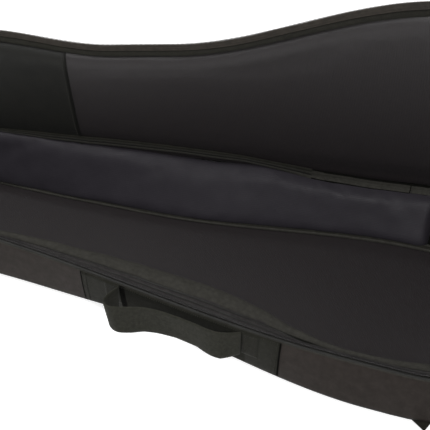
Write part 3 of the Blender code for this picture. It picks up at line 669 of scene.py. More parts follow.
# End guard: a strip of dark coated cloth over the inside of the body end, where the guitar's strap
# button would rub. It is sewn to the lining along its edges.
GUARD_SPAN = (SIDE - 12, SIDE + 12)
GUARD_IN = WALL_DEPTH + LINING_PUFF + 0.0010
GUARD_LOW = 0.022
GUARD_HIGH = 0.072
GUARD_STAND = 0.0022
GUARD_HEM = 0.002
guard_stations = np.linspace(*GUARD_SPAN, 41)

sections = []
for station in guard_stations:
    section = []
    for height in np.linspace(GUARD_LOW, GUARD_HIGH, 9):
        section.append(wall(station, GUARD_IN + GUARD_STAND, height))
    for height in np.linspace(GUARD_HIGH - GUARD_HEM, GUARD_LOW + GUARD_HEM, 5):
        section.append(wall(station, GUARD_IN, height))
    sections.append(section)
end_guard = sweep("end_guard_cloth", sections, [GUARD_AND_SHADE])
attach(end_guard, "bag")
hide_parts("end_guard")
guard_middle = (GUARD_LOW + GUARD_HIGH) / 2
guard_spots = np.array([wall(station, GUARD_IN, guard_middle) for station in guard_stations])


# Rim of the bottom half: half of the zip lies on top of the front wall, its tape sewn into the wall's
# edge. The tape runs on to a soft binding that is gathered along the mouth of the bag.
RIM_BAND = (
    (-0.540, 0.016), (-0.420, 0.016), (-0.340, 0.020), (-0.300, 0.0243), (-0.245, 0.0328), (-0.190, 0.0380),
    (-0.136, 0.0466), (-0.082, 0.0516), (-0.029, 0.0557), (0.023, 0.0584), (0.074, 0.0557), (0.124, 0.0477),
    (0.174, 0.0343), (0.222, 0.0236), (0.269, 0.0180), (0.316, 0.0187), (0.360, 0.0230), (0.400, 0.0290),
    (0.460, 0.0260), (0.540, 0.0200),
)
BAND_NARROW = 0.016
BAND_SPREAD = 0.034
BINDING_SHARE = 0.56
BINDING_LEAST = 0.0062
BINDING_OVER = 0.002
BINDING_TURNS = np.arange(36) * 2 * math.pi / 36
DIP_AT = 0.205
DIP_REACH = 0.035
DIP_DEEP = 0.0070
TAPE_FROM = 0.0055
TAPE_RIDGES = 3
TAPE_STEPS = 31
TAPE_THICK = 0.0012
TAPE_UP = 0.0832
CORD_SHADE = 0.19

# Zip tape: herringbone polyester with woven cords. The eye sees a purplish black with lengthwise
# stripes. The cords are in the mesh, and the 0.7 mm yarns are drawn at 1.4 mm.
TAPE = cloth(
    "zip_tape", "#1c1a1b", "#2c2a29", (0.0014, 0.0028), knit=0.6, patches=0.008, sheen=0.04, relief=0.0003,
)

tape_sections = []
binding_sections = []
coil_path = []
for station in OPEN_STATIONS:
    index = station % STATIONS
    edge = np.array((*rim_loop[index], 0))
    square = np.array((*wall_square[index], 0))
    band = along_bag(edge[0], RIM_BAND)
    wide = min(max((band - BAND_NARROW) / BAND_SPREAD, 0), 1)
    soft = max(BINDING_SHARE * (band - TAPE_FROM), BINDING_LEAST)
    flat = band - soft + BINDING_OVER
    dip = DIP_DEEP * math.exp(-(((edge[0] - DIP_AT) / DIP_REACH) ** 2)) * (edge[1] < 0)
    top = []
    for share in np.linspace(0, 1, TAPE_STEPS):
        cord = (0.0004 + 0.0007 * wide) * math.cos(2 * math.pi * TAPE_RIDGES * share)
        sag = (0.0016 * wide + dip) * math.sin(math.pi * share)
        height = TAPE_UP + cord - sag + 0.0006 * ripple(edge[0], share, 0.05, 6.6)
        top.append(edge + square * (TAPE_FROM + (flat - TAPE_FROM) * share) + UP * height)
    under = [point - UP * TAPE_THICK for point in top[::-5]]
    tape_sections.append(top + under)
    coil_path.append(edge + square * (TAPE_FROM + 0.0010) + UP * (TAPE_UP + 0.0008))
    wander = 0.0010 * ripple(edge[0], edge[1], 0.04, 4.4) + 0.0006 * ripple(edge[0], edge[1], 0.012, 7.7)
    fold = []
    for turn in BINDING_TURNS:
        lump = 1 + 0.16 * wide * ripple(edge[0], turn * 0.012, 0.014, 2.6)
        ridges = 1 + 0.06 * math.cos(9 * turn)
        height = (0.0024 + 0.0012 * (1 + math.cos(turn)) + 0.0016 * wide) * math.sin(turn)
        across = band - soft / 2 + soft / 2 * math.cos(turn)
        fold.append(edge + square * (across + wander) + UP * (TAPE_UP - 0.0006 + height * ridges * lump))
    binding_sections.append(fold)
# Painted shade: the faces in the troughs between the tape's cords take the dark coated cloth.
tape_kinds = []
for side in range(TAPE_STEPS - 1):
    cord = TAPE_RIDGES * (side + 0.5) / (TAPE_STEPS - 1) % 1
    tape_kinds.append(int(abs(cord - 0.5) < CORD_SHADE))
tape_kinds += [0] * (len(tape_sections[0]) - len(tape_kinds))
zip_tape_lower = sweep("rim_zip_tape", tape_sections, [TAPE, GUARD_AND_SHADE], kinds=tape_kinds)
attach(zip_tape_lower, "bag")
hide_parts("zip_tape_lower")
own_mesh(zip_tape_lower)
rim_binding = sweep("rim_binding_roll", binding_sections, [BINDING])
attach(rim_binding, "bag")
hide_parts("rim_binding")
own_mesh(rim_binding)


# Zip teeth of the bottom half: a nylon coil sewn along the tape's outer edge. Each turn shows as one
# small tooth across the tape.
TOOTH_PITCH = 0.0021
TOOTH = (0.0046, 0.0022, 0.0015)


def row_tree():
    """Node group that sets one small rounded bar after another along a curve."""
    tree = bpy.data.node_groups.new("sewn_row", "GeometryNodeTree")
    tree.interface.new_socket("Geometry", in_out="INPUT", socket_type="NodeSocketGeometry")
    for name, kind in (
        ("Pitch", "NodeSocketFloat"), ("Size", "NodeSocketVector"), ("Lean", "NodeSocketFloat"),
        ("Seed", "NodeSocketInt"), ("Material", "NodeSocketMaterial"),
    ):
        tree.interface.new_socket(name, in_out="INPUT", socket_type=kind)
    tree.interface.new_socket("Geometry", in_out="OUTPUT", socket_type="NodeSocketGeometry")
    given = add(tree, "NodeGroupInput").outputs
    stood = add(tree, "GeometryNodeSetCurveNormal", {"Curve": given["Geometry"]}, mode="Z_UP")
    spots = add(tree, "GeometryNodeCurveToPoints", {
        "Curve": stood.outputs["Curve"], "Length": given["Pitch"],
    }, mode="LENGTH")
    ball = add(tree, "GeometryNodeMeshUVSphere", {"Segments": 6, "Rings": 4, "Radius": 0.5})
    sway = add(tree, "FunctionNodeRandomValue", {"Seed": given["Seed"], 2: -1.0, 3: 1.0}, data_type="FLOAT")
    lean = add(tree, "ShaderNodeMath", {0: sway.outputs[1], 1: given["Lean"]}, operation="MULTIPLY")
    turn = add(tree, "ShaderNodeCombineXYZ", {"X": lean.outputs[0]})
    leant = add(tree, "FunctionNodeRotateRotation", {
        "Rotation": spots.outputs["Rotation"], "Rotate By": turn.outputs[0],
    }, rotation_space="LOCAL")
    bars = add(tree, "GeometryNodeInstanceOnPoints", {
        "Points": spots.outputs["Points"], "Instance": ball.outputs["Mesh"],
        "Rotation": leant.outputs["Rotation"], "Scale": given["Size"],
    })
    real = add(tree, "GeometryNodeRealizeInstances", {"Geometry": bars.outputs["Instances"]})
    smooth = add(tree, "GeometryNodeSetShadeSmooth", {0: real.outputs["Geometry"]})
    dressed = add(tree, "GeometryNodeSetMaterial", {
        "Geometry": smooth.outputs[0], "Material": given["Material"],
    })
    add(tree, "NodeGroupOutput", {0: dressed.outputs["Geometry"]})
    return tree


ROW = row_tree()


def sewn_row(name, paths, pitch, size, look, lean=0.0, seed=1):
    """Small bars along open paths. size is across the path, along the path and up."""
    curve = bpy.data.curves.new(name, "CURVE")
    curve.dimensions = "3D"
    for path in paths:
        spline = curve.splines.new("POLY")
        spline.points.add(len(path) - 1)
        for point, spot in zip(spline.points, path):
            point.co = (*spot, 1)
    holder = bpy.data.objects.new(name, curve)
    scene.collection.objects.link(holder)
    nodes = holder.modifiers.new("row", "NODES")
    nodes.node_group = ROW
    values = {"Pitch": pitch, "Size": size, "Lean": lean, "Seed": seed, "Material": look}
    for socket in ROW.interface.items_tree:
        if socket.in_out == "INPUT" and socket.name in values:
            nodes[socket.identifier] = values[socket.name]
    evaluated = holder.evaluated_get(bpy.context.evaluated_depsgraph_get())
    mesh = bpy.data.meshes.new_from_object(evaluated)
    bpy.data.objects.remove(holder, do_unlink=True)
    made = bpy.data.objects.new(name, mesh)
    scene.collection.objects.link(made)
    return made


# Nylon coil: drawn monofilament, dyed black. The eye sees small glossy beads with light tops.
NYLON, tree = new_material("nylon_coil")
spot = add(tree, "ShaderNodeTexCoord").outputs["Object"]
dust = add(tree, "ShaderNodeTexNoise", {"Vector": spot, "Scale": 160.0, "Detail": 4.0}).outputs["Fac"]
tint = add(tree, "ShaderNodeMix", {
    0: dust, 6: linear("#141314"), 7: linear("#2a2829"),
}, data_type="RGBA").outputs[2]
rough = add(tree, "ShaderNodeMapRange", {"Value": dust, "To Min": 0.25, "To Max": 0.5}).outputs["Result"]
shader = add(tree, "ShaderNodeBsdfPrincipled", {"Base Color": tint, "Roughness": rough, "IOR": 1.53})
add(tree, "ShaderNodeOutputMaterial", {"Surface": shader.outputs["BSDF"]})

zip_teeth_lower = sewn_row("rim_zip_teeth", [coil_path], TOOTH_PITCH, TOOTH, NYLON, 0.12, 2)
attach(zip_teeth_lower, "bag")
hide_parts("zip_coil_lower")
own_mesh(zip_teeth_lower)


# Lid: a padded panel, woven polyester outside and brushed tricot inside over foam, cut to the guitar's
# outline. It is drawn shut and then turned open about the hinge line along its rear edge.
LID_OPEN = math.radians(84.4)
LID_SHORTER = 0.006
LID_LOW = 0.0895
LID_HIGH = 0.1010
LID_SEAM = 0.0940
LID_EDGE_IN = 0.0120
LID_ACROSS = 56
LID_TUCK = (0.0005, 0.0095)
LID_CREST = 0.0130
LID_SWELL = 0.0030
LID_OUT_ROLL = 0.020
HINGE_CLEAR = 0.002
hinge_along = Vector((math.cos(HINGE_SKEW), math.sin(HINGE_SKEW), 0))
to_hinge = Matrix.Translation(hinge_spot)
LID_TURN = to_hinge @ Matrix.Rotation(-LID_OPEN, 4, hinge_along) @ Matrix.Translation(-hinge_spot)


def lid_front(x):
    """The y of the lid's free edge: out at the headstock, in at the neck, out again at the body."""
    return -0.083 - 0.038 * ease(-x, 0.175, 0.395) - 0.082 * ease(x, -0.066, 0.344)


lid_rim = outline(lid_front, lambda x: hinge_line(x) - HINGE_CLEAR, BAG_HALF - LID_SHORTER)
lid_edge = loop_of(lid_rim)
lid_square = inward(lid_edge) * (1 + 0.25 * ease(lid_edge[:, :1], 0.12, 0.34))


def lid_loop(distance):
    """The lid's outline moved in from its free edge. The hinge side stays where it is."""
    moved = lid_edge + lid_square * distance
    moved[REAR_SPAN[0] + 1 : REAR_SPAN[1]] = lid_edge[REAR_SPAN[0] + 1 : REAR_SPAN[1]]
    return moved


def lid_inside(way_in, x, y):
    """Height of the shut lid's lining: tucked behind the binding, then a round roll and a long swell."""
    free = ease(hinge_line(x) - y, 0.02, 0.06)
    tuck = LID_TUCK[0] + (LID_TUCK[1] - LID_TUCK[0]) * free
    crest = roll(way_in - tuck, 0.003 + 0.023 * free) * (0.72 + 0.28 * free)
    swell = roll(way_in - tuck, 0.020 + 0.080 * free) * free
    return LID_SEAM - 0.0012 * roll(way_in, tuck) - LID_CREST * crest - LID_SWELL * swell


# Lid tricot: the same knit drawn a shade darker than on the floor, as painted shade on the lid's upright
# face.
SHADED_LID_TRICOT = cloth(
    "shaded_lid_tricot", "#161314", "#1b1718", (0.0026, 0.0013), knit=1.5, patches=0.012, roughness=0.42, sheen=0.02,
    relief=0.0002, gloss=0.42,
)


def lid_give(point):
    """How far the air may move a point of the lid: hardly outside, more on the lining away from the hinge."""
    if point[2] > LID_SEAM:
        return 0.0004
    return 0.0008 * ease(hinge_line(point[0]) - point[1], 0.03, 0.08)


lid_pad = pad(
    "lid_pad", edges_of(lid_loop(LID_EDGE_IN)), LID_ACROSS,
    lambda way_in, x, y: LID_SEAM + (LID_HIGH - LID_SEAM) * roll(way_in, LID_OUT_ROLL),
    lid_inside, [POLYESTER, SHADED_LID_TRICOT],
)
inflate(
    lid_pad, held=lambda point: float(LID_SEAM - 0.0030 < point[2] < LID_SEAM + 0.0020), pressure=1.5,
    slack=0.004, limit=lid_give,
)
lid_skin = BVHTree.FromPolygons(
    [vertex.co.copy() for vertex in lid_pad.data.vertices],
    [list(face.vertices) for face in lid_pad.data.polygons],
)
lid_pad.data.transform(LID_TURN)
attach(lid_pad, "lid")
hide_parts("lid_outer", "lid_foam", "lid_lining")


# Headstock guard: a second layer of coated cloth over the headstock end of the lid's lining. Its free
# edge is folded and top-stitched on a slant, and the rest is sewn in under the binding.
SEAM_FRONT_X = -0.252
SEAM_LEAN = 0.022
GUARD_EDGE_IN = 0.0200
GUARD_THICK = 0.0016
GUARD_ACROSS = 30
GUARD_ROWS = 46
GUARD_FOLD = 0.004
CORD_HALF = (0.0009, 0.0007)


def seam_x(share):
    """The x of the guard's slanted free edge, this share of the way to the hinge."""
    return SEAM_FRONT_X - SEAM_LEAN * share


def lid_under(x, y):
    """Height of the lid's lining at x, y when the lid is shut."""
    hit = lid_skin.ray_cast(Vector((x, y, LID_LOW - 0.03)), Vector((0, 0, 1)))[0]
    return LID_SEAM if hit is None else hit.z


guard_front, guard_rear = edges_of(lid_loop(GUARD_EDGE_IN))


def guard_y(x, share):
    """The y this share of the way across the guard."""
    low = np.interp(x, guard_front[:, 0], guard_front[:, 1])
    high = np.interp(x, guard_rear[:, 0], guard_rear[:, 1])
    return low + (high - low) * share


guard_from = guard_front[0][0] + 0.0005
guard_points = []
for shell in (1, 0):
    for row in range(GUARD_ROWS + 1):
        for column in range(GUARD_ACROSS + 1):
            share = column / GUARD_ACROSS
            x = guard_from + (seam_x(share) - guard_from) * (row / GUARD_ROWS) ** 1.3
            y = guard_y(x, share)
            fold = 0.0010 * max(0, 1 - (seam_x(share) - x) / GUARD_FOLD)
            guard_points.append((x, y, lid_under(x, y) - 0.0002 - shell * (GUARD_THICK + fold)))
rows = np.arange((GUARD_ROWS + 1) * (GUARD_ACROSS + 1)).reshape(GUARD_ROWS + 1, GUARD_ACROSS + 1)
quads = np.stack([rows[:-1, :-1], rows[1:, :-1], rows[1:, 1:], rows[:-1, 1:]], 2).reshape(-1, 4)
brim = np.concatenate([rows[:-1, 0], rows[-1, :-1], rows[:0:-1, -1], rows[0, :0:-1]])
after = np.roll(brim, -1)
sides = np.stack([brim, after, after + rows.size, brim + rows.size], 1)
guard_faces = np.concatenate([quads, quads[:, ::-1] + rows.size, sides])
guard_points = np.array(guard_points)
headstock_guard = piece(
    "headstock_guard_cloth", guard_points, guard_faces.tolist(), [GUARD_AND_SHADE],
    guard_points[guard_faces.ravel()][:, :2],
)
# Along the free edge lies a thin dark cord: a piping that also stands as painted shade for the groove beside
# the fold.
edge_cord = []
for share in np.linspace(0.0, 1.0, 60):
    x = seam_x(share)
    y = guard_y(x, share)
    spot = np.array((x + 0.0006, y, lid_under(x + 0.002, y) - 0.0006))
    edge_cord.append(bead(spot, np.array((1.0, 0, 0)), UP, *CORD_HALF))
guard_cord_and_shade = sweep("guard_edge_cord_and_shade", edge_cord, [GUARD_AND_SHADE])
guard_cord_and_shade.data.transform(LID_TURN)
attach(guard_cord_and_shade, "lid")
headstock_guard.data.transform(LID_TURN)
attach(headstock_guard, "lid")
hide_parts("headstock_guard")


# Lid binding: a ribbed tape folded over the edge of the lid's lining, just inside the zip. It is padded
# by the cloth edges under it, so it stands up in a low roll.
TAPE_WIDTH = 0.0125
BINDING_WIDTH = 0.0095
BINDING_CROWN = 0.0055
RIBBON_STEPS = 13


def ribbon(loop_from, loop_to, low, thick, crown, wave, seed):
    """Closed sections of a tape on the lid, between two loops. Its inner face is domed by crown."""
    made = []
    for station in OPEN_STATIONS:
        start = loop_from[station % STATIONS]
        end = loop_to[station % STATIONS]
        under = []
        over = []
        for share in np.linspace(0, 1, RIBBON_STEPS):
            spot = start + (end - start) * share
            dome = crown * math.sin(math.pi * share) ** 0.7
            wander = wave * ripple(spot[0], spot[1], 0.06, seed)
            round_off = 0.5 * thick * (1 - float(roll(min(share, 1 - share), 0.12)))
            under.append(np.array((*spot, low - dome + wander + round_off)))
            over.append(np.array((*spot, low + thick + wander - round_off)))
        made.append(under + over[::-1])
    return made


binding_inner = lid_loop(TAPE_WIDTH + BINDING_WIDTH)
binding_outer = lid_loop(TAPE_WIDTH + 0.0003)
sections = ribbon(
    binding_outer, binding_inner, LID_LOW - 0.0002, thick=0.0024, crown=BINDING_CROWN, wave=0.0006, seed=1.3,
)
# Painted shade: the whole lid binding takes the darker shaded tape.
lid_binding = sweep("lid_binding_tape", sections, [SHADED_BINDING])
lid_binding.data.transform(LID_TURN)
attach(lid_binding, "lid")
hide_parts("lid_binding")


# Upper half of the zip: the tape is sewn under the lid's binding and stands free beyond it, with the
# nylon coil along its outer edge.
TAPE_TUCK = 0.002
LID_CORD = 0.00035
# Painted shade: the two faces where the tape runs in under the binding take the nearly black shade cloth, as a
# dark slit.
LID_TAPE_SLIT_SHADE = [0] * 10 + [1] * 2 + [0] * 14

sections = ribbon(
    lid_edge, lid_loop(TAPE_WIDTH + TAPE_TUCK), LID_LOW + 0.0002, thick=TAPE_THICK, crown=0.0, wave=0.0010,
    seed=9.1,
)
for section in sections:
    for side, point in enumerate(section):
        share = side % RIBBON_STEPS / (RIBBON_STEPS - 1)
        point[2] += LID_CORD * math.cos(2 * math.pi * TAPE_RIDGES * share)
# Painted light: the lid's zip tape is the same tape drawn lighter and warmer all over.
LIT_LID_TAPE = cloth(
    "lit_zip_tape", "#25221f", "#34302b", (0.0014, 0.0028), knit=0.6, patches=0.008, sheen=0.04,
    relief=0.0003,
)

zip_tape_upper = sweep("lid_zip_tape", sections, [LIT_LID_TAPE, PAINTED_SHADE], kinds=LID_TAPE_SLIT_SHADE)
zip_tape_upper.data.transform(LID_TURN)
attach(zip_tape_upper, "lid")
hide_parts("zip_tape_upper")
coil_loop = lid_loop(0.0012)
lid_coil_path = [(*coil_loop[station % STATIONS], LID_LOW + 0.0026) for station in OPEN_STATIONS]
zip_teeth_upper = sewn_row("lid_zip_teeth", [lid_coil_path], TOOTH_PITCH, TOOTH, NYLON, 0.12, 3)
zip_teeth_upper.data.transform(LID_TURN)
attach(zip_teeth_upper, "lid")
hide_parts("zip_coil_upper")


# Hinge cloth: the outer cloth runs on from the rear wall to the lid and is the hinge itself. It is doubled
# and sewn into the top of the wall and the foot of the lid.
HINGE_PROFILE = (
    (0.0030, 0.0220), (0.0000, 0.0140), (-0.0030, 0.0080), (-0.0036, 0.0020), (-0.0010, -0.0040),
    (0.0040, -0.0074), (-0.0002, -0.0082), (-0.0012, -0.0040), (-0.0050, 0.0010), (-0.0110, 0.0080),
    (-0.0128, 0.0160), (-0.0128, 0.0220),
)
HINGE_ROWS = 460
PLEAT = 0.0108
hinge_face = np.array((math.sin(HINGE_SKEW), -math.cos(HINGE_SKEW), 0))
lid_up = (LID_TURN.to_3x3() @ Vector(hinge_face)).normalized()

sections = []
for station in np.linspace(REAR_SPAN[0] + 0.2, REAR_SPAN[1] - 0.2, HINGE_ROWS):
    x = wall(station, 0.0, RIM_HEIGHT)[0]
    axis = np.array((x, hinge_line(x), HINGE_HEIGHT))
    loose = float(ease(x, -0.24, -0.14) * (1 - ease(x, 0.04, 0.09)))
    gather = math.sin(x * 2 * math.pi / PLEAT + 2.2 * ripple(x, 0, 0.05, 3.8)) + 0.6 * ripple(x, 0, 0.02, 3.8)
    section = []
    for side, (face, lift) in enumerate(HINGE_PROFILE):
        rise = np.array(lid_up) * lift if lift > 0 else UP * lift
        forward = (0.0065 * loose + (0.0006 + 0.0022 * loose) * gather) * (side in range(1, 5))
        bend = forward * math.exp(-(((lift - 0.005) / 0.010) ** 2))
        section.append(axis + hinge_face * (face + bend) + rise)
    sections.append(section)
# Painted shade: the six front faces, in the shade under the hinge band, take the darker shaded tape instead of
# the outer cloth.
hinge_cloth = sweep("hinge_cloth", sections, [POLYESTER, SHADED_BINDING], kinds=[1] * 6 + [0] * 6)
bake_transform(hinge_cloth)


# Hinge band: a wide binding folded over the seam where the lid's lining, the rear lining and the outer cloth
# meet. It is soft and wanders: up on to the lid along the neck, and down on to the wall at the body.
HINGE_THICK = 0.0026
HINGE_SIDES = 40
HINGE_GROOVE = -0.15
BAND_JOIN = 0.2828
JOIN_GAP = 0.2
BAND_ROWS = 170
BAND_IN = 0.0035
BAND_FOLD = 0.006
BAND_STAND = 0.0050
BAND_LIFT = (
    (-0.500, 0.022), (-0.440, 0.0225), (-0.418, 0.0225), (-0.338, 0.0212), (-0.268, 0.0217), (-0.178, 0.0241),
    (-0.106, 0.0238), (-0.047, 0.0219), (0.005, 0.0208), (0.057, 0.0134), (0.130, 0.0020), (0.224, -0.0028),
    (0.283, -0.0039), (0.400, -0.004),
)
BAND_HALF = (
    (-0.500, 0.004), (-0.440, 0.0040), (-0.418, 0.0042), (-0.338, 0.0082), (-0.268, 0.0086), (-0.178, 0.0092),
    (-0.106, 0.0084), (-0.047, 0.0090), (0.005, 0.0078), (0.057, 0.0090), (0.130, 0.0115), (0.224, 0.0112),
    (0.283, 0.0108), (0.400, 0.0100),
)


def bent(base, down, distance):
    """A point this far up the lid from base, or down the wall where it is negative, round the fold."""
    lift = (distance + math.sqrt(distance * distance + BAND_FOLD * BAND_FOLD)) / 2
    return base + np.array(lid_up) * lift + down * (lift - distance)


facing = np.array((math.sin(HINGE_SKEW), -math.cos(HINGE_SKEW), 0.25))
sections = []
band_kinds = []
band_rows = list(np.linspace(REAR_SPAN[0] + 0.5, REAR_SPAN[1] - 0.5, BAND_ROWS))
join_row = float(np.interp(-BAND_JOIN, [-wall(row, BAND_IN, RIM_HEIGHT)[0] for row in band_rows], band_rows))
for station in sorted(band_rows + [join_row - JOIN_GAP / 2, join_row + JOIN_GAP / 2]):
    top = wall(station, BAND_IN, RIM_HEIGHT)
    low = wall(station, BAND_IN, 0.040)
    down = (low - top) / np.linalg.norm(low - top)
    base = np.array((top[0], hinge_line(top[0]) - BAND_IN, HINGE_HEIGHT - 0.001))
    shift = along_bag(top[0], BAND_LIFT) + 0.0008 * ripple(top[0], 0, 0.05, 2.2)
    half = along_bag(top[0], BAND_HALF)
    flat = float(ease(top[0], 0.08, 0.16))
    section = []
    for turn in np.arange(HINGE_SIDES) * 2 * math.pi / HINGE_SIDES:
        place = math.cos(turn) - HINGE_GROOVE
        groove = 1 - 0.6 * (1 - flat) * math.exp(-((place / 0.14) ** 2)) + 0.2 * (station > join_row)
        stand = HINGE_THICK * math.sin(turn) * (0.75 + 0.25 * abs(math.cos(turn))) * groove
        section.append(bent(base, down, shift + half * math.cos(turn)) + facing * (stand + BAND_STAND))
        place = math.cos(turn + math.pi / HINGE_SIDES)
        if abs(station + JOIN_GAP / 2 - join_row) < 0.01:
            band_kinds.append(3)
        elif flat > 0.5:
            band_kinds.append(3 * int(place > 1.02 - 0.32 * flat or place < -0.55))
        else:
            band_kinds.append(2 if abs(place - HINGE_GROOVE) < 0.10 else int(place - HINGE_GROOVE > 0.62))
    sections.append(section)
# Painted shade: in band_kinds the groove takes the dark coated cloth, the half up the lid the darker shaded
# tape, and the join and the band's edges towards the body end the nearly black shade cloth.
hinge_band = sweep("hinge_band", sections, [BINDING, SHADED_BINDING, GUARD_AND_SHADE, PAINTED_SHADE], kinds=band_kinds)
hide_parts("hinge_binding")
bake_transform(hinge_band)


# Handle: a patch of webbing cloth sewn flat on the front wall, two sewn ends on it, and a loop of wide
# webbing between them that swings out.
PATCH = (-0.1705, 0.172)
PATCH_SEAM = 0.0022
PATCH_SEAMS = (PATCH[0] + 0.0005, PATCH[0] + 0.0095, PATCH[1] - 0.0005)
PATCH_ROUND = 0.0030
FRONT_RUN = 0.0097
HANDLE_X = (-0.101, 0.112)
HANDLE_WIDTH = 0.050
HANDLE_THICK = 0.003
HANDLE_UP = RIM_HEIGHT - 0.003
HANDLE_TILT = math.radians(4)
HANDLE_WAY = (
    (0, 0), (-0.006, 0.0137), (-0.0095, 0.0307), (-0.007, 0.0407), (0.005, 0.0442), (0.030, 0.0337),
    (0.054, 0.0222), (0.078, 0.0172), (0.110, 0.0157), (0.143, 0.0162), (0.168, 0.0182), (0.184, 0.0165),
    (0.200, 0.0100), (0.2147, 0),
)
HANDLE_SLACK = (
    (0.0, 0, 0), (0.12, 0.012, 0.002), (0.20, 0.017, 0.001), (0.30, 0.012, 0.002), (0.42, 0.003, 0.002),
    (0.60, 0, -0.002), (0.74, 0, -0.001), (0.84, 0, 0.005), (0.90, 0, 0.008), (1.0, 0, 0),
)
ANCHOR_LENGTH = 0.026
ANCHORS = (
    ("head", HANDLE_X[0] - ANCHOR_LENGTH, HANDLE_X[0]),
    ("body", HANDLE_X[1], HANDLE_X[1] + ANCHOR_LENGTH),
)
ANCHOR_OUT = 0.0035
LIT_STRIP_PAST = 0.006
SHADED = 0.010
WEB_STEPS = 17

# Webbing: flat woven polyester with ribbed rows along it. The eye sees a matt greenish grey with rows of
# small chevrons and slightly raised edges. The 1.2 mm rows are drawn at 2.4 mm.
WEBBING = cloth(
    "polyester_webbing", "#1d1d18", "#2a2a24", (0.0018, 0.0024), knit=0.9, patches=0.005, relief=0.0005,
)


def front_station(x):
    """Fractional station of the front wall at this x."""
    return float(np.interp(x, foot_loop[: SIDE + 1, 0], np.arange(SIDE + 1)))


def wall_patch(name, from_x, to_x, low, high, stand, thick, look, steps):
    """A flat piece sewn on the outside of the front wall."""
    made = []
    first = front_station(from_x)
    last = front_station(to_x)
    for station in np.linspace(first, last, steps):
        section = []
        edge = min(station - first, last - station) * FRONT_RUN
        for height in np.linspace(low, high, 13):
            rim = min(height - low, high - height, edge)
            full = stand + thick * (0.45 + 0.55 * float(roll(rim, PATCH_ROUND)))
            section.append(wall(station, -wall_bulge(station, height) - full, height))
        for height in np.linspace(high - 0.001, low + 0.001, 5):
            section.append(wall(station, -wall_bulge(station, height) - stand * 0.3, height))
        made.append(section)
    return sweep(name, made, [look])


# Patch cloth: the same yarns in a closer weave. The eye sees a dull greenish black. Behind the handle loop
# a lighter, matter copy stands as painted light that lifts the handle's shade. The 0.6 mm yarns are drawn
# at 1.6 mm.
PATCH_CLOTH = cloth("patch_cloth", "#14140f", "#1e1e18", (0.0016, 0.0020))
LIT_PATCH_CLOTH = cloth(
    "lit_patch_cloth", "#191915", "#22221e", (0.0016, 0.0020), roughness=0.9, sheen=0.01, gloss=0.05,
)

handle_patch = wall_patch(
    "handle_patch_cloth", *PATCH, low=0.0035, high=0.0800, stand=0.0005, thick=0.0017, look=PATCH_CLOTH,
    steps=70,
)
handle_patch.data.materials.append(LIT_PATCH_CLOTH)
handle_patch.data.materials.append(PAINTED_SHADE)
# Painted shade and light: by the handle's head end, SHADED wide, the patch takes the nearly black shade cloth;
# the rest of the strip behind the loop takes the lighter copy.
for face in handle_patch.data.polygons:
    if HANDLE_X[0] < face.center.x < HANDLE_X[1] + LIT_STRIP_PAST:
        face.material_index = 2 if face.center.x < HANDLE_X[0] + SHADED else 1
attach(handle_patch, "bag")
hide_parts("handle_patch")
# Painted shade: the patch's seams are thin strips of the nearly black shade cloth.
for number, x in enumerate(PATCH_SEAMS, 1):
    seam = wall_patch(
        f"patch_seam_{number}", x, x + PATCH_SEAM, low=0.0040, high=0.0795, stand=0.0010, thick=0.0016,
        look=PAINTED_SHADE, steps=3,
    )
    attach(seam, "bag")
for end, from_x, to_x in ANCHORS:
    anchor = wall_patch(
        f"handle_end_{end}", from_x, to_x, low=HANDLE_UP - HANDLE_WIDTH, high=HANDLE_UP, stand=0.0022,
        thick=0.0012, look=PATCH_CLOTH, steps=14,
    )
    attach(anchor, "bag")
    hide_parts(f"handle_anchor_{end}")


def smooth_way(corners, count, passes):
    """An even path of points through these corners, rounded off."""
    corners = np.array(corners, float)
    run = np.concatenate([[0], np.cumsum(np.linalg.norm(np.diff(corners, axis=0), axis=1))])
    even = np.linspace(0, run[-1], count)
    way = np.stack([np.interp(even, run, column) for column in corners.T], 1)
    for _ in range(passes):
        way[1:-1] = (way[:-2] + 2 * way[1:-1] + way[2:]) / 4
    return way


def webbing(name, spots, downs, width, thick, look):
    """A strip of webbing. One edge follows spots, and the other lies its width away along downs."""
    tangents = np.gradient(spots, axis=0)
    made = []
    for spot, tangent, down in zip(spots, tangents, np.broadcast_to(downs, spots.shape)):
        side = np.cross(down, tangent)
        side /= np.linalg.norm(side)
        near = []
        far = []
        for share in np.linspace(0, 1, WEB_STEPS):
            hem = 0.5 * float(roll(min(share, 1 - share), 0.04)) + 0.06 * abs(2 * share - 1) ** 8
            rib = 0.00018 * math.cos(2 * math.pi * 8 * share)
            near.append(spot - side * (thick * hem + rib) + down * width * share)
            far.append(spot + side * (thick * hem + rib) + down * width * share)
        made.append(near + far[::-1])
    return sweep(name, made, [look])


handle_start = wall(front_station(HANDLE_X[0]), -ANCHOR_OUT, HANDLE_UP)
handle_end = wall(front_station(HANDLE_X[1]), -ANCHOR_OUT, HANDLE_UP)
handle_along = (handle_end - handle_start) / np.linalg.norm(handle_end - handle_start)
handle_out = np.cross(handle_along, UP)
handle_down = handle_out * math.sin(HANDLE_TILT) - UP * math.cos(HANDLE_TILT)
handle_spots = [
    handle_start + handle_along * run + handle_out * stand for run, stand in smooth_way(HANDLE_WAY, 110, 12)
]
shares, shifts, leans = np.array(HANDLE_SLACK).T
handle_downs = []
for share in np.linspace(0, 1, len(handle_spots)):
    slack = handle_along * np.interp(share, shares, shifts) + handle_out * np.interp(share, shares, leans)
    handle_downs.append(handle_down + slack / HANDLE_WIDTH)
handle = webbing(
    "carry_handle", np.array(handle_spots), np.array(handle_downs), HANDLE_WIDTH, HANDLE_THICK, WEBBING,
)
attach(handle, "handle")
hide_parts("handle")


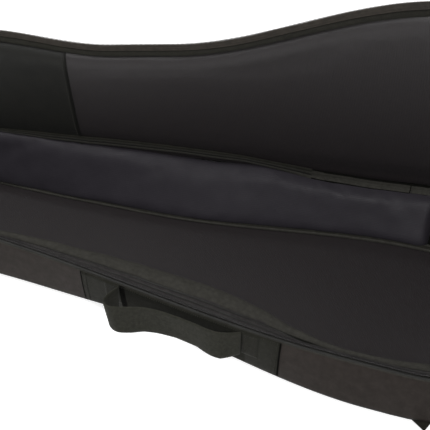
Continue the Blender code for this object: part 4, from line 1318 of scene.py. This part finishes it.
# Hanging loop: a short loop of narrow webbing that hangs the bag on a hook. Both of its ends are sewn to the
# headstock end of the wall, just under the zip.
LOOP_WIDTH = 0.025
LOOP_THICK = 0.002
LOOP_SPAN = 0.034
LOOP_REACH = 0.043
LOOP_TILT = math.radians(10)
LOOP_WAY = (
    (0, 0), (0, 0.6), (0.04, 0.86), (0.2, 1.0), (0.5, 1.03), (0.8, 1.0), (0.96, 0.86), (1, 0.6), (1, 0),
)
loop_middle = wall(0, -0.0003, RIM_HEIGHT - 0.012) + np.array((-END_LEAN, 0, 0))
loop_out = np.array((-1.0, 0, 0))
loop_down = loop_out * math.sin(LOOP_TILT) - UP * math.cos(LOOP_TILT)
loop_spots = [
    loop_middle + np.array((0, LOOP_SPAN * (0.5 - run), 0)) + loop_out * LOOP_REACH * stand
    for run, stand in smooth_way(LOOP_WAY, 60, 8)
]
hanging_loop = webbing("hanging_loop", np.array(loop_spots), loop_down, LOOP_WIDTH, LOOP_THICK, WEBBING)
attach(hanging_loop, "hang_loop")
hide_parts("hang_loop")


# Yoke and corner tabs: flat cuts of patch cloth sewn on the back. The shoulder pads start from the yoke, and
# the lower ends of the straps are sewn on the tabs at the two corners of the body end.
STRAP_GAP = 0.0003
STRAP_CLOTH = 0.0015
YOKE_RUN = (-0.2353, -0.1503)
YOKE_HALF = (0.0825, 0.0825)
PAD_TAIL = (0.2703, 0.118)
STRAP_ANCHOR = (0.412, 0.166)
TAB_RUN = (-0.030, 0.010)
TAB_HALF = (0.014, 0.025)
BUCKLE_HALF = 0.018


def sewn_cut(name, node, run, half, place):
    """A flat cut of cloth under the back. half gives its half width at the start and the end of run."""
    x = np.linspace(*run, 24)
    wide = np.interp(x, run, half)
    middle = -STRAP_GAP - STRAP_CLOTH / 2
    made = pad(
        name, [np.stack([x, -wide], 1), np.stack([x, wide], 1)], 22,
        lambda way_in, x, y: np.where(way_in > 0, -STRAP_GAP, middle),
        lambda way_in, x, y: middle - STRAP_CLOTH / 2 * roll(way_in, 0.003), [PATCH_CLOTH, PATCH_CLOTH],
    )
    made.data.transform(place)
    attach(made, "bag")
    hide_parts(node)


def strap_place(sign):
    """Where the lower half of a strap starts, turned towards its corner, and how far it reaches."""
    tail = Vector((PAD_TAIL[0], sign * PAD_TAIL[1], 0))
    way = Vector((STRAP_ANCHOR[0], sign * STRAP_ANCHOR[1], 0)) - tail
    heading = math.atan2(way.y, way.x)
    set_off = abs(math.sin(heading)) * BUCKLE_HALF
    start = Matrix.Translation(tail + Vector((set_off, 0, 0)))
    return start @ Matrix.Rotation(heading, 4, "Z"), way.length - set_off


sewn_cut("yoke_cloth", "strap_yoke", YOKE_RUN, YOKE_HALF, Matrix.Identity(4))
STRAPS = (("front", -1), ("rear", 1))
for side, sign in STRAPS:
    place, reach = strap_place(sign)
    run = (reach + TAB_RUN[0], reach + TAB_RUN[1])
    sewn_cut(f"tab_cloth_{side}", f"strap_tab_{side}", run, TAB_HALF, place)


# Shoulder pads: two curved foam cushions in woven polyester, bound round the edge and top-stitched. They hang
# from the yoke, and the bag lies on them here.
PAD_RUN = (-0.150, 0.270)
PAD_MIDDLE = (0.045, 0.118)
PAD_BOW = 0.022
PAD_HALF = 0.0298
PAD_SEAM = -0.0058
PAD_GROOVE_IN = 0.009
PAD_EDGING = (0.0016, 0.0034)


def pad_below(way_in, x, y):
    """Height of a shoulder pad's outer face, pressed in along its stitching."""
    groove = 0.0014 * np.exp(-(((way_in - PAD_GROOVE_IN) / 0.0018) ** 2))
    return PAD_SEAM - 0.0045 * roll(way_in, 0.014) + groove


pad_edges = {}
for side, sign in STRAPS:
    x = np.linspace(*PAD_RUN, 70)
    share = (x - PAD_RUN[0]) / (PAD_RUN[1] - PAD_RUN[0])
    bow = PAD_BOW * np.sin(math.pi * share)
    middle = sign * (PAD_MIDDLE[0] + (PAD_MIDDLE[1] - PAD_MIDDLE[0]) * share + bow)
    half = PAD_HALF * (0.75 + 0.25 * roll(np.minimum(x - PAD_RUN[0], PAD_RUN[1] - x), 0.018))
    pad_edges[side] = [np.stack([x, middle - half], 1), np.stack([x, middle + half], 1)]
    cushion = pad(
        f"shoulder_pad_{side}", pad_edges[side], 26,
        lambda way_in, x, y: PAD_SEAM + 0.0052 * roll(way_in, 0.010), pad_below, [POLYESTER, POLYESTER],
    )
    inflate(
        cushion, held=lambda point: float(abs(point[2] - PAD_SEAM) < SEWN_NEAR), pressure=1.0, slack=0.0,
        limit=lambda point: 0.0006 if point[2] < PAD_SEAM else 0.0,
    )
    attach(cushion, "bag")
    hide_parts(f"strap_pad_{side}")
    loop = np.concatenate([pad_edges[side][0], pad_edges[side][1][::-1]])
    sections = []
    for spot, square in zip(loop, inward(loop)):
        sections.append(bead(np.array((*spot, PAD_SEAM)), np.array((*square, 0)), UP, *PAD_EDGING))
    edging = sweep(f"shoulder_pad_edging_{side}", sections, [BINDING], ring=True)
    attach(edging, "bag")


# Lower straps: narrow webbing from the corner tabs, up through the buckles at the tails of the pads and over
# their middle bars.
STRAP_WIDTH = 0.025
STRAP_THICK = 0.0016
STRAP_ABOVE = -0.0015
STRAP_BELOW = -0.0096
STRAP_SEWN = -0.0029
for side, sign in STRAPS:
    place, reach = strap_place(sign)
    way = (
        (0.0025, STRAP_ABOVE), (0.0071, STRAP_ABOVE), (0.0134, STRAP_BELOW), (0.0226, STRAP_BELOW),
        (0.0289, STRAP_ABOVE), (0.0360, STRAP_ABOVE), (reach - 0.035, STRAP_ABOVE),
        (reach - 0.030, STRAP_SEWN), (reach, STRAP_SEWN),
    )
    spots = [place @ Vector((run, -STRAP_WIDTH / 2, height)) for run, height in smooth_way(way, 120, 2)]
    across = np.array(place.to_3x3() @ Vector((0, 1, 0)))
    strap = webbing(f"lower_strap_{side}", np.array(spots), across, STRAP_WIDTH, STRAP_THICK, WEBBING)
    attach(strap, "bag")
    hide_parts(f"strap_webbing_{side}")


# Buckles: ladder-lock frames with two slots, moulded in one piece. The webbing threads through both slots and
# round the middle bar, and holds them.
BUCKLE_EDGE = 0.0007


def hard_piece(name, node, edge, look, body):
    """A moulded or cast piece: the CAD solid with its edges rounded off."""
    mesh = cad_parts[node].data.copy()
    shape = bmesh.new()
    shape.from_mesh(mesh)
    bmesh.ops.remove_doubles(shape, verts=shape.verts, dist=1e-6)
    bmesh.ops.dissolve_limit(shape, angle_limit=math.radians(1), verts=shape.verts, edges=shape.edges)
    sharp = [line for line in shape.edges if line.calc_face_angle(0) > math.radians(30)]
    bmesh.ops.bevel(
        shape, geom=sharp, offset=edge, segments=3, profile=0.6, affect="EDGES", clamp_overlap=True,
    )
    bmesh.ops.recalc_face_normals(shape, faces=shape.faces)
    shape.to_mesh(mesh)
    shape.free()
    mesh.materials.clear()
    mesh.materials.append(look)
    mesh.shade_smooth()
    mesh.set_sharp_from_angle(angle=math.radians(35))
    made = bpy.data.objects.new(name, mesh)
    scene.collection.objects.link(made)
    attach(made, body)
    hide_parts(node)


def hard_look(name, dark, light, roughness, grain, relief, gloss):
    """A hard surface with a fine grain of `grain` metres and slow changes in its gloss."""
    made, tree = new_material(name)
    spot = add(tree, "ShaderNodeTexCoord").outputs["Object"]
    pits = add(tree, "ShaderNodeTexNoise", {"Vector": spot, "Scale": 1 / grain, "Detail": 3.0}).outputs["Fac"]
    scuff = add(tree, "ShaderNodeTexNoise", {"Vector": spot, "Scale": 140.0, "Detail": 6.0}).outputs["Fac"]
    tint = add(tree, "ShaderNodeMix", {
        0: scuff, 6: linear(dark), 7: linear(light),
    }, data_type="RGBA").outputs[2]
    rough = add(tree, "ShaderNodeMapRange", {
        "Value": scuff, "From Min": 0.3, "From Max": 0.7,
        "To Min": roughness - 0.08, "To Max": roughness + 0.1,
    }).outputs["Result"]
    raised = add(tree, "ShaderNodeBump", {
        "Height": pits, "Strength": 0.5, "Distance": relief,
    }).outputs["Normal"]
    shader = add(tree, "ShaderNodeBsdfPrincipled", {
        "Base Color": tint, "Roughness": rough, "Normal": raised, "Coat Weight": gloss, "Coat Roughness": 0.2,
    })
    add(tree, "ShaderNodeOutputMaterial", {"Surface": shader.outputs["BSDF"]})
    return made


# Moulded acetal: satin black with the fine spark-eroded grain of its mould.
ACETAL = hard_look(
    "moulded_acetal", "#161616", "#222222", roughness=0.42, grain=0.0005, relief=0.00008, gloss=0.0,
)

for side, _ in STRAPS:
    hard_piece(f"ladder_buckle_{side}", f"strap_buckle_{side}", BUCKLE_EDGE, ACETAL, "bag")


# Pocket: a panel of woven polyester sewn flat on the outside of the lid on all four sides. It stands off a
# little where it is empty, and a straight zip near the hinge opens it.
POCKET_RUN = (0.045, 0.440)
POCKET_IN = 0.060
POCKET_LOW = 0.1014
POCKET_CLOTH = 0.0018
POCKET_LOOSE = 0.0040
POCKET_HEM = 0.003
pocket_x = np.linspace(*POCKET_RUN, 60)
pocket_edges = [
    np.stack([pocket_x, lid_front(pocket_x) + POCKET_IN], 1),
    np.stack([pocket_x, hinge_line(pocket_x) - POCKET_IN], 1),
]


def pocket_face(side, way_in, x, y):
    """Height of the pocket's outer (1) or inner (-1) face: flat by the zip and loose away from it."""
    loose = POCKET_LOOSE * ease(hinge_line(x) - y, 0.105, 0.17) * roll(way_in - 0.006, 0.05)
    return POCKET_LOW + POCKET_CLOTH / 2 * (1 + side * roll(way_in, POCKET_HEM)) + loose


pocket = pad(
    "pocket_cloth", pocket_edges, 36,
    lambda *spot: pocket_face(1, *spot), lambda *spot: pocket_face(-1, *spot), [POLYESTER, POLYESTER],
)
pocket.data.transform(LID_TURN)
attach(pocket, "lid")
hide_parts("pocket_panel")


# Pocket zip: a short polyester tape with the nylon coil along its middle. It lies on the pocket beside the
# hinge, and is sewn down on both sides of the slit.
POCKET_ZIP_START = (0.110, 0.085)
POCKET_ZIP_LENGTH = 0.250
POCKET_ZIP_HALF = 0.012
POCKET_ZIP_UP = 0.1048
zip_start = Vector((POCKET_ZIP_START[0], hinge_line(POCKET_ZIP_START[0]) - POCKET_ZIP_START[1], 0))
zip_place = LID_TURN @ Matrix.Translation(zip_start) @ Matrix.Rotation(HINGE_SKEW, 4, "Z")
sections = []
for run in np.linspace(0, POCKET_ZIP_LENGTH, 90):
    top = []
    for share in np.linspace(-1, 1, 25):
        cord = 0.0003 * math.cos(2 * math.pi * TAPE_RIDGES * share)
        cord -= 0.0005 * (1 - float(roll(1 - abs(share), 0.1)))
        top.append(np.array((run, share * POCKET_ZIP_HALF, POCKET_ZIP_UP + cord)))
    sections.append(top + [point - UP * 0.0010 for point in top[::-6]])
pocket_tape = sweep("pocket_zip_tape_cloth", sections, [TAPE])
pocket_tape.data.transform(zip_place)
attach(pocket_tape, "lid")
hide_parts("pocket_zip_tape")
pocket_coil = [(run, 0, POCKET_ZIP_UP + 0.0012) for run in np.linspace(0.001, POCKET_ZIP_LENGTH - 0.001, 40)]
pocket_teeth = sewn_row("pocket_zip_teeth", [pocket_coil], TOOTH_PITCH, TOOTH, NYLON, 0.1, 5)
pocket_teeth.data.transform(zip_place)
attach(pocket_teeth, "lid")
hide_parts("pocket_zip_coil")


# Sliders and pulls: cast zinc, painted black. Two sliders run on the main zip and one on the pocket's, and
# each holds its pull in a small lug.
SLIDER_EDGE = 0.0003

# Painted zinc: a thin glossy black over cast metal, with a faint orange peel.
PAINTED_ZINC = hard_look(
    "painted_zinc", "#141414", "#242423", roughness=0.3, grain=0.0008, relief=0.00003, gloss=0.4,
)

for name in ("body", "head", "pocket"):
    for kind in ("slider", "pull"):
        body = f"{kind}_{name}"
        hard_piece(f"{body}_cast", f"zip_{body}", SLIDER_EDGE, PAINTED_ZINC, body)


# Stitches: black polyester thread, one small bar for each stitch. Rows run beside every sewn edge, and boxes
# with crosses hold the ends of the webbing.
STITCH = (0.0009, 0.0028, 0.0007)
STITCH_PITCH = 0.0038
STITCH_IN = 0.004
GUARD_STITCH = (0.0018, 0.0034, 0.0014)
GUARD_PITCH = 0.0068
PATCH_OUT = 0.0023
END_OUT = 0.0036

# Sewing thread: twisted polyester. The eye sees short soft dashes, a little lighter than the cloth. The
# 0.3 mm twist is drawn at 1 mm.
THREAD = cloth(
    "sewing_thread", "#1c1a18", "#33302c", (0.0010, 0.0010), knit=0.4, patches=0.004, roughness=0.6,
    sheen=0.05, relief=0.0001,
)


def stitched(name, paths, body, turn=None, pitch=STITCH_PITCH, size=STITCH, look=THREAD):
    """Rows of stitches along these paths, on one body."""
    made = sewn_row(name, paths, pitch, size, look, 0.10, 7)
    if turn is not None:
        made.data.transform(turn)
    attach(made, body)
    return made


def patch_spot(x, height, out):
    """A point on the outside of the front wall."""
    station = front_station(x)
    return wall(station, -wall_bulge(station, height) - out, height)


def wall_rows(corner_from, corner_to, out):
    """A box of stitching on the front wall, with a cross from corner to corner."""
    (x_from, low), (x_to, high) = corner_from, corner_to
    lines = (
        (x_from, low, x_to, low), (x_to, low, x_to, high), (x_to, high, x_from, high),
        (x_from, high, x_from, low), (x_from, low, x_to, high), (x_from, high, x_to, low),
    )
    made = []
    for from_x, from_z, to_x, to_z in lines:
        made.append([
            patch_spot(from_x + (to_x - from_x) * step, from_z + (to_z - from_z) * step, out)
            for step in np.linspace(0, 1, 30)
        ])
    return made


patch_rows = []
for x in (PATCH[0] + STITCH_IN, PATCH[0] + 0.010, PATCH[1] - 0.010, PATCH[1] - STITCH_IN):
    patch_rows.append([patch_spot(x, height, PATCH_OUT) for height in np.linspace(0.006, 0.078, 24)])
long_row = np.linspace(PATCH[0] + STITCH_IN, PATCH[1] - STITCH_IN, 90)
for height in (0.0065, 0.0775):
    patch_rows.append([patch_spot(x, height, PATCH_OUT) for x in long_row])
stitched("patch_stitches", patch_rows, "bag")
end_rows = []
for _, from_x, to_x in ANCHORS:
    low = (from_x + STITCH_IN, HANDLE_UP - HANDLE_WIDTH + STITCH_IN)
    high = (to_x - STITCH_IN, HANDLE_UP - STITCH_IN)
    end_rows += wall_rows(low, high, END_OUT)
stitched("handle_end_stitches", end_rows, "bag")

rim_row = [
    np.array((*rim_loop[station % STATIONS], TAPE_UP + 0.0007))
    + np.array((*wall_square[station % STATIONS], 0)) * 0.0045
    for station in OPEN_STATIONS
]
rim_stitches = stitched("rim_stitches", [rim_row], "bag")
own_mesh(rim_stitches)

guard_row = []
for share in np.linspace(0.01, 0.99, 60):
    x = seam_x(share) - 0.0045
    y = guard_y(x, share)
    guard_row.append((x, y, lid_under(x, y) - GUARD_THICK - 0.0004))
stitched("guard_stitches", [guard_row], "lid", LID_TURN, GUARD_PITCH, GUARD_STITCH, BINDING)

binding_rows = []
for share in (0.13, 0.87):
    height = LID_LOW - 0.0004 - BINDING_CROWN * math.sin(math.pi * share) ** 0.7
    row = binding_outer + (binding_inner - binding_outer) * share
    binding_rows.append([(*row[station % STATIONS], height) for station in OPEN_STATIONS])
stitched("lid_binding_stitches", binding_rows, "lid", LID_TURN)

pocket_rows = []
pocket_top = POCKET_LOW + POCKET_CLOTH + 0.0002
for edge, step in zip(pocket_edges, (STITCH_IN, -STITCH_IN)):
    inner = edge[2:-2] + np.array((0, step))
    pocket_rows.append([(*spot, pocket_top) for spot in inner])
for index, step in ((0, STITCH_IN), (-1, -STITCH_IN)):
    start, end = (edge[index] + np.array((step, 0)) for edge in pocket_edges)
    shares = np.linspace(0.02, 0.98, 40)
    pocket_rows.append([(*(start + (end - start) * share), pocket_top) for share in shares])
stitched("pocket_stitches", pocket_rows, "lid", LID_TURN)
zip_runs = np.linspace(0.003, POCKET_ZIP_LENGTH - 0.003, 40)
zip_rows = [[(run, across * 0.009, POCKET_ZIP_UP + 0.0004) for run in zip_runs] for across in (-1, 1)]
stitched("pocket_zip_stitches", zip_rows, "lid", zip_place)

strap_rows = []
pad_low = float(pad_below(PAD_GROOVE_IN, 0, 0)) - 0.0003
tab_low = -STRAP_GAP - STRAP_CLOTH - 0.0002
for side, sign in STRAPS:
    for edge, step in zip(pad_edges[side], (PAD_GROOVE_IN, -PAD_GROOVE_IN)):
        strap_rows.append([(*spot, pad_low) for spot in edge[3:-3] + np.array((0, step))])
    place, reach = strap_place(sign)
    from_x, to_x = reach + TAB_RUN[0] + STITCH_IN, reach + TAB_RUN[1] - STITCH_IN
    for across in (-1, 1):
        line = [(from_x, across * 0.0105), (to_x, across * 0.0195)]
        strap_rows.append([place @ Vector((*spot, tab_low)) for spot in smooth_way(line, 20, 0)])
        cross = [(reach - 0.026, across * 0.0085), (reach - 0.004, -across * 0.0085)]
        strap_rows.append([place @ Vector((*spot, STRAP_SEWN - 0.0010)) for spot in smooth_way(cross, 16, 0)])
    line = [(to_x, -0.0195), (to_x, 0.0195)]
    strap_rows.append([place @ Vector((*spot, tab_low)) for spot in smooth_way(line, 20, 0)])
run_from = YOKE_RUN[0] + STITCH_IN
run_to = YOKE_RUN[1] - STITCH_IN
half = YOKE_HALF[0] - STITCH_IN
corners = [(run_from, -half), (run_to, -half), (run_to, half), (run_from, half)]
for start, end in zip(corners, corners[1:] + corners[:1]):
    strap_rows.append([(*spot, tab_low) for spot in smooth_way([start, end], 40, 0)])
stitched("strap_stitches", strap_rows, "bag")

# The back is pieced round a centre cut, which widens between the two pads.
CENTRE_CUT = ((-0.110, 0.018), (0.240, 0.070))
centre_rows = []
for sign in (-1, 1):
    for beside in (-0.0025, 0.0025):
        line = [(x, sign * (half + beside)) for x, half in CENTRE_CUT]
        centre_rows.append([(*spot, -0.0002) for spot in smooth_way(line, 60, 0)])
stitched("back_seam_stitches", centre_rows, "bag")
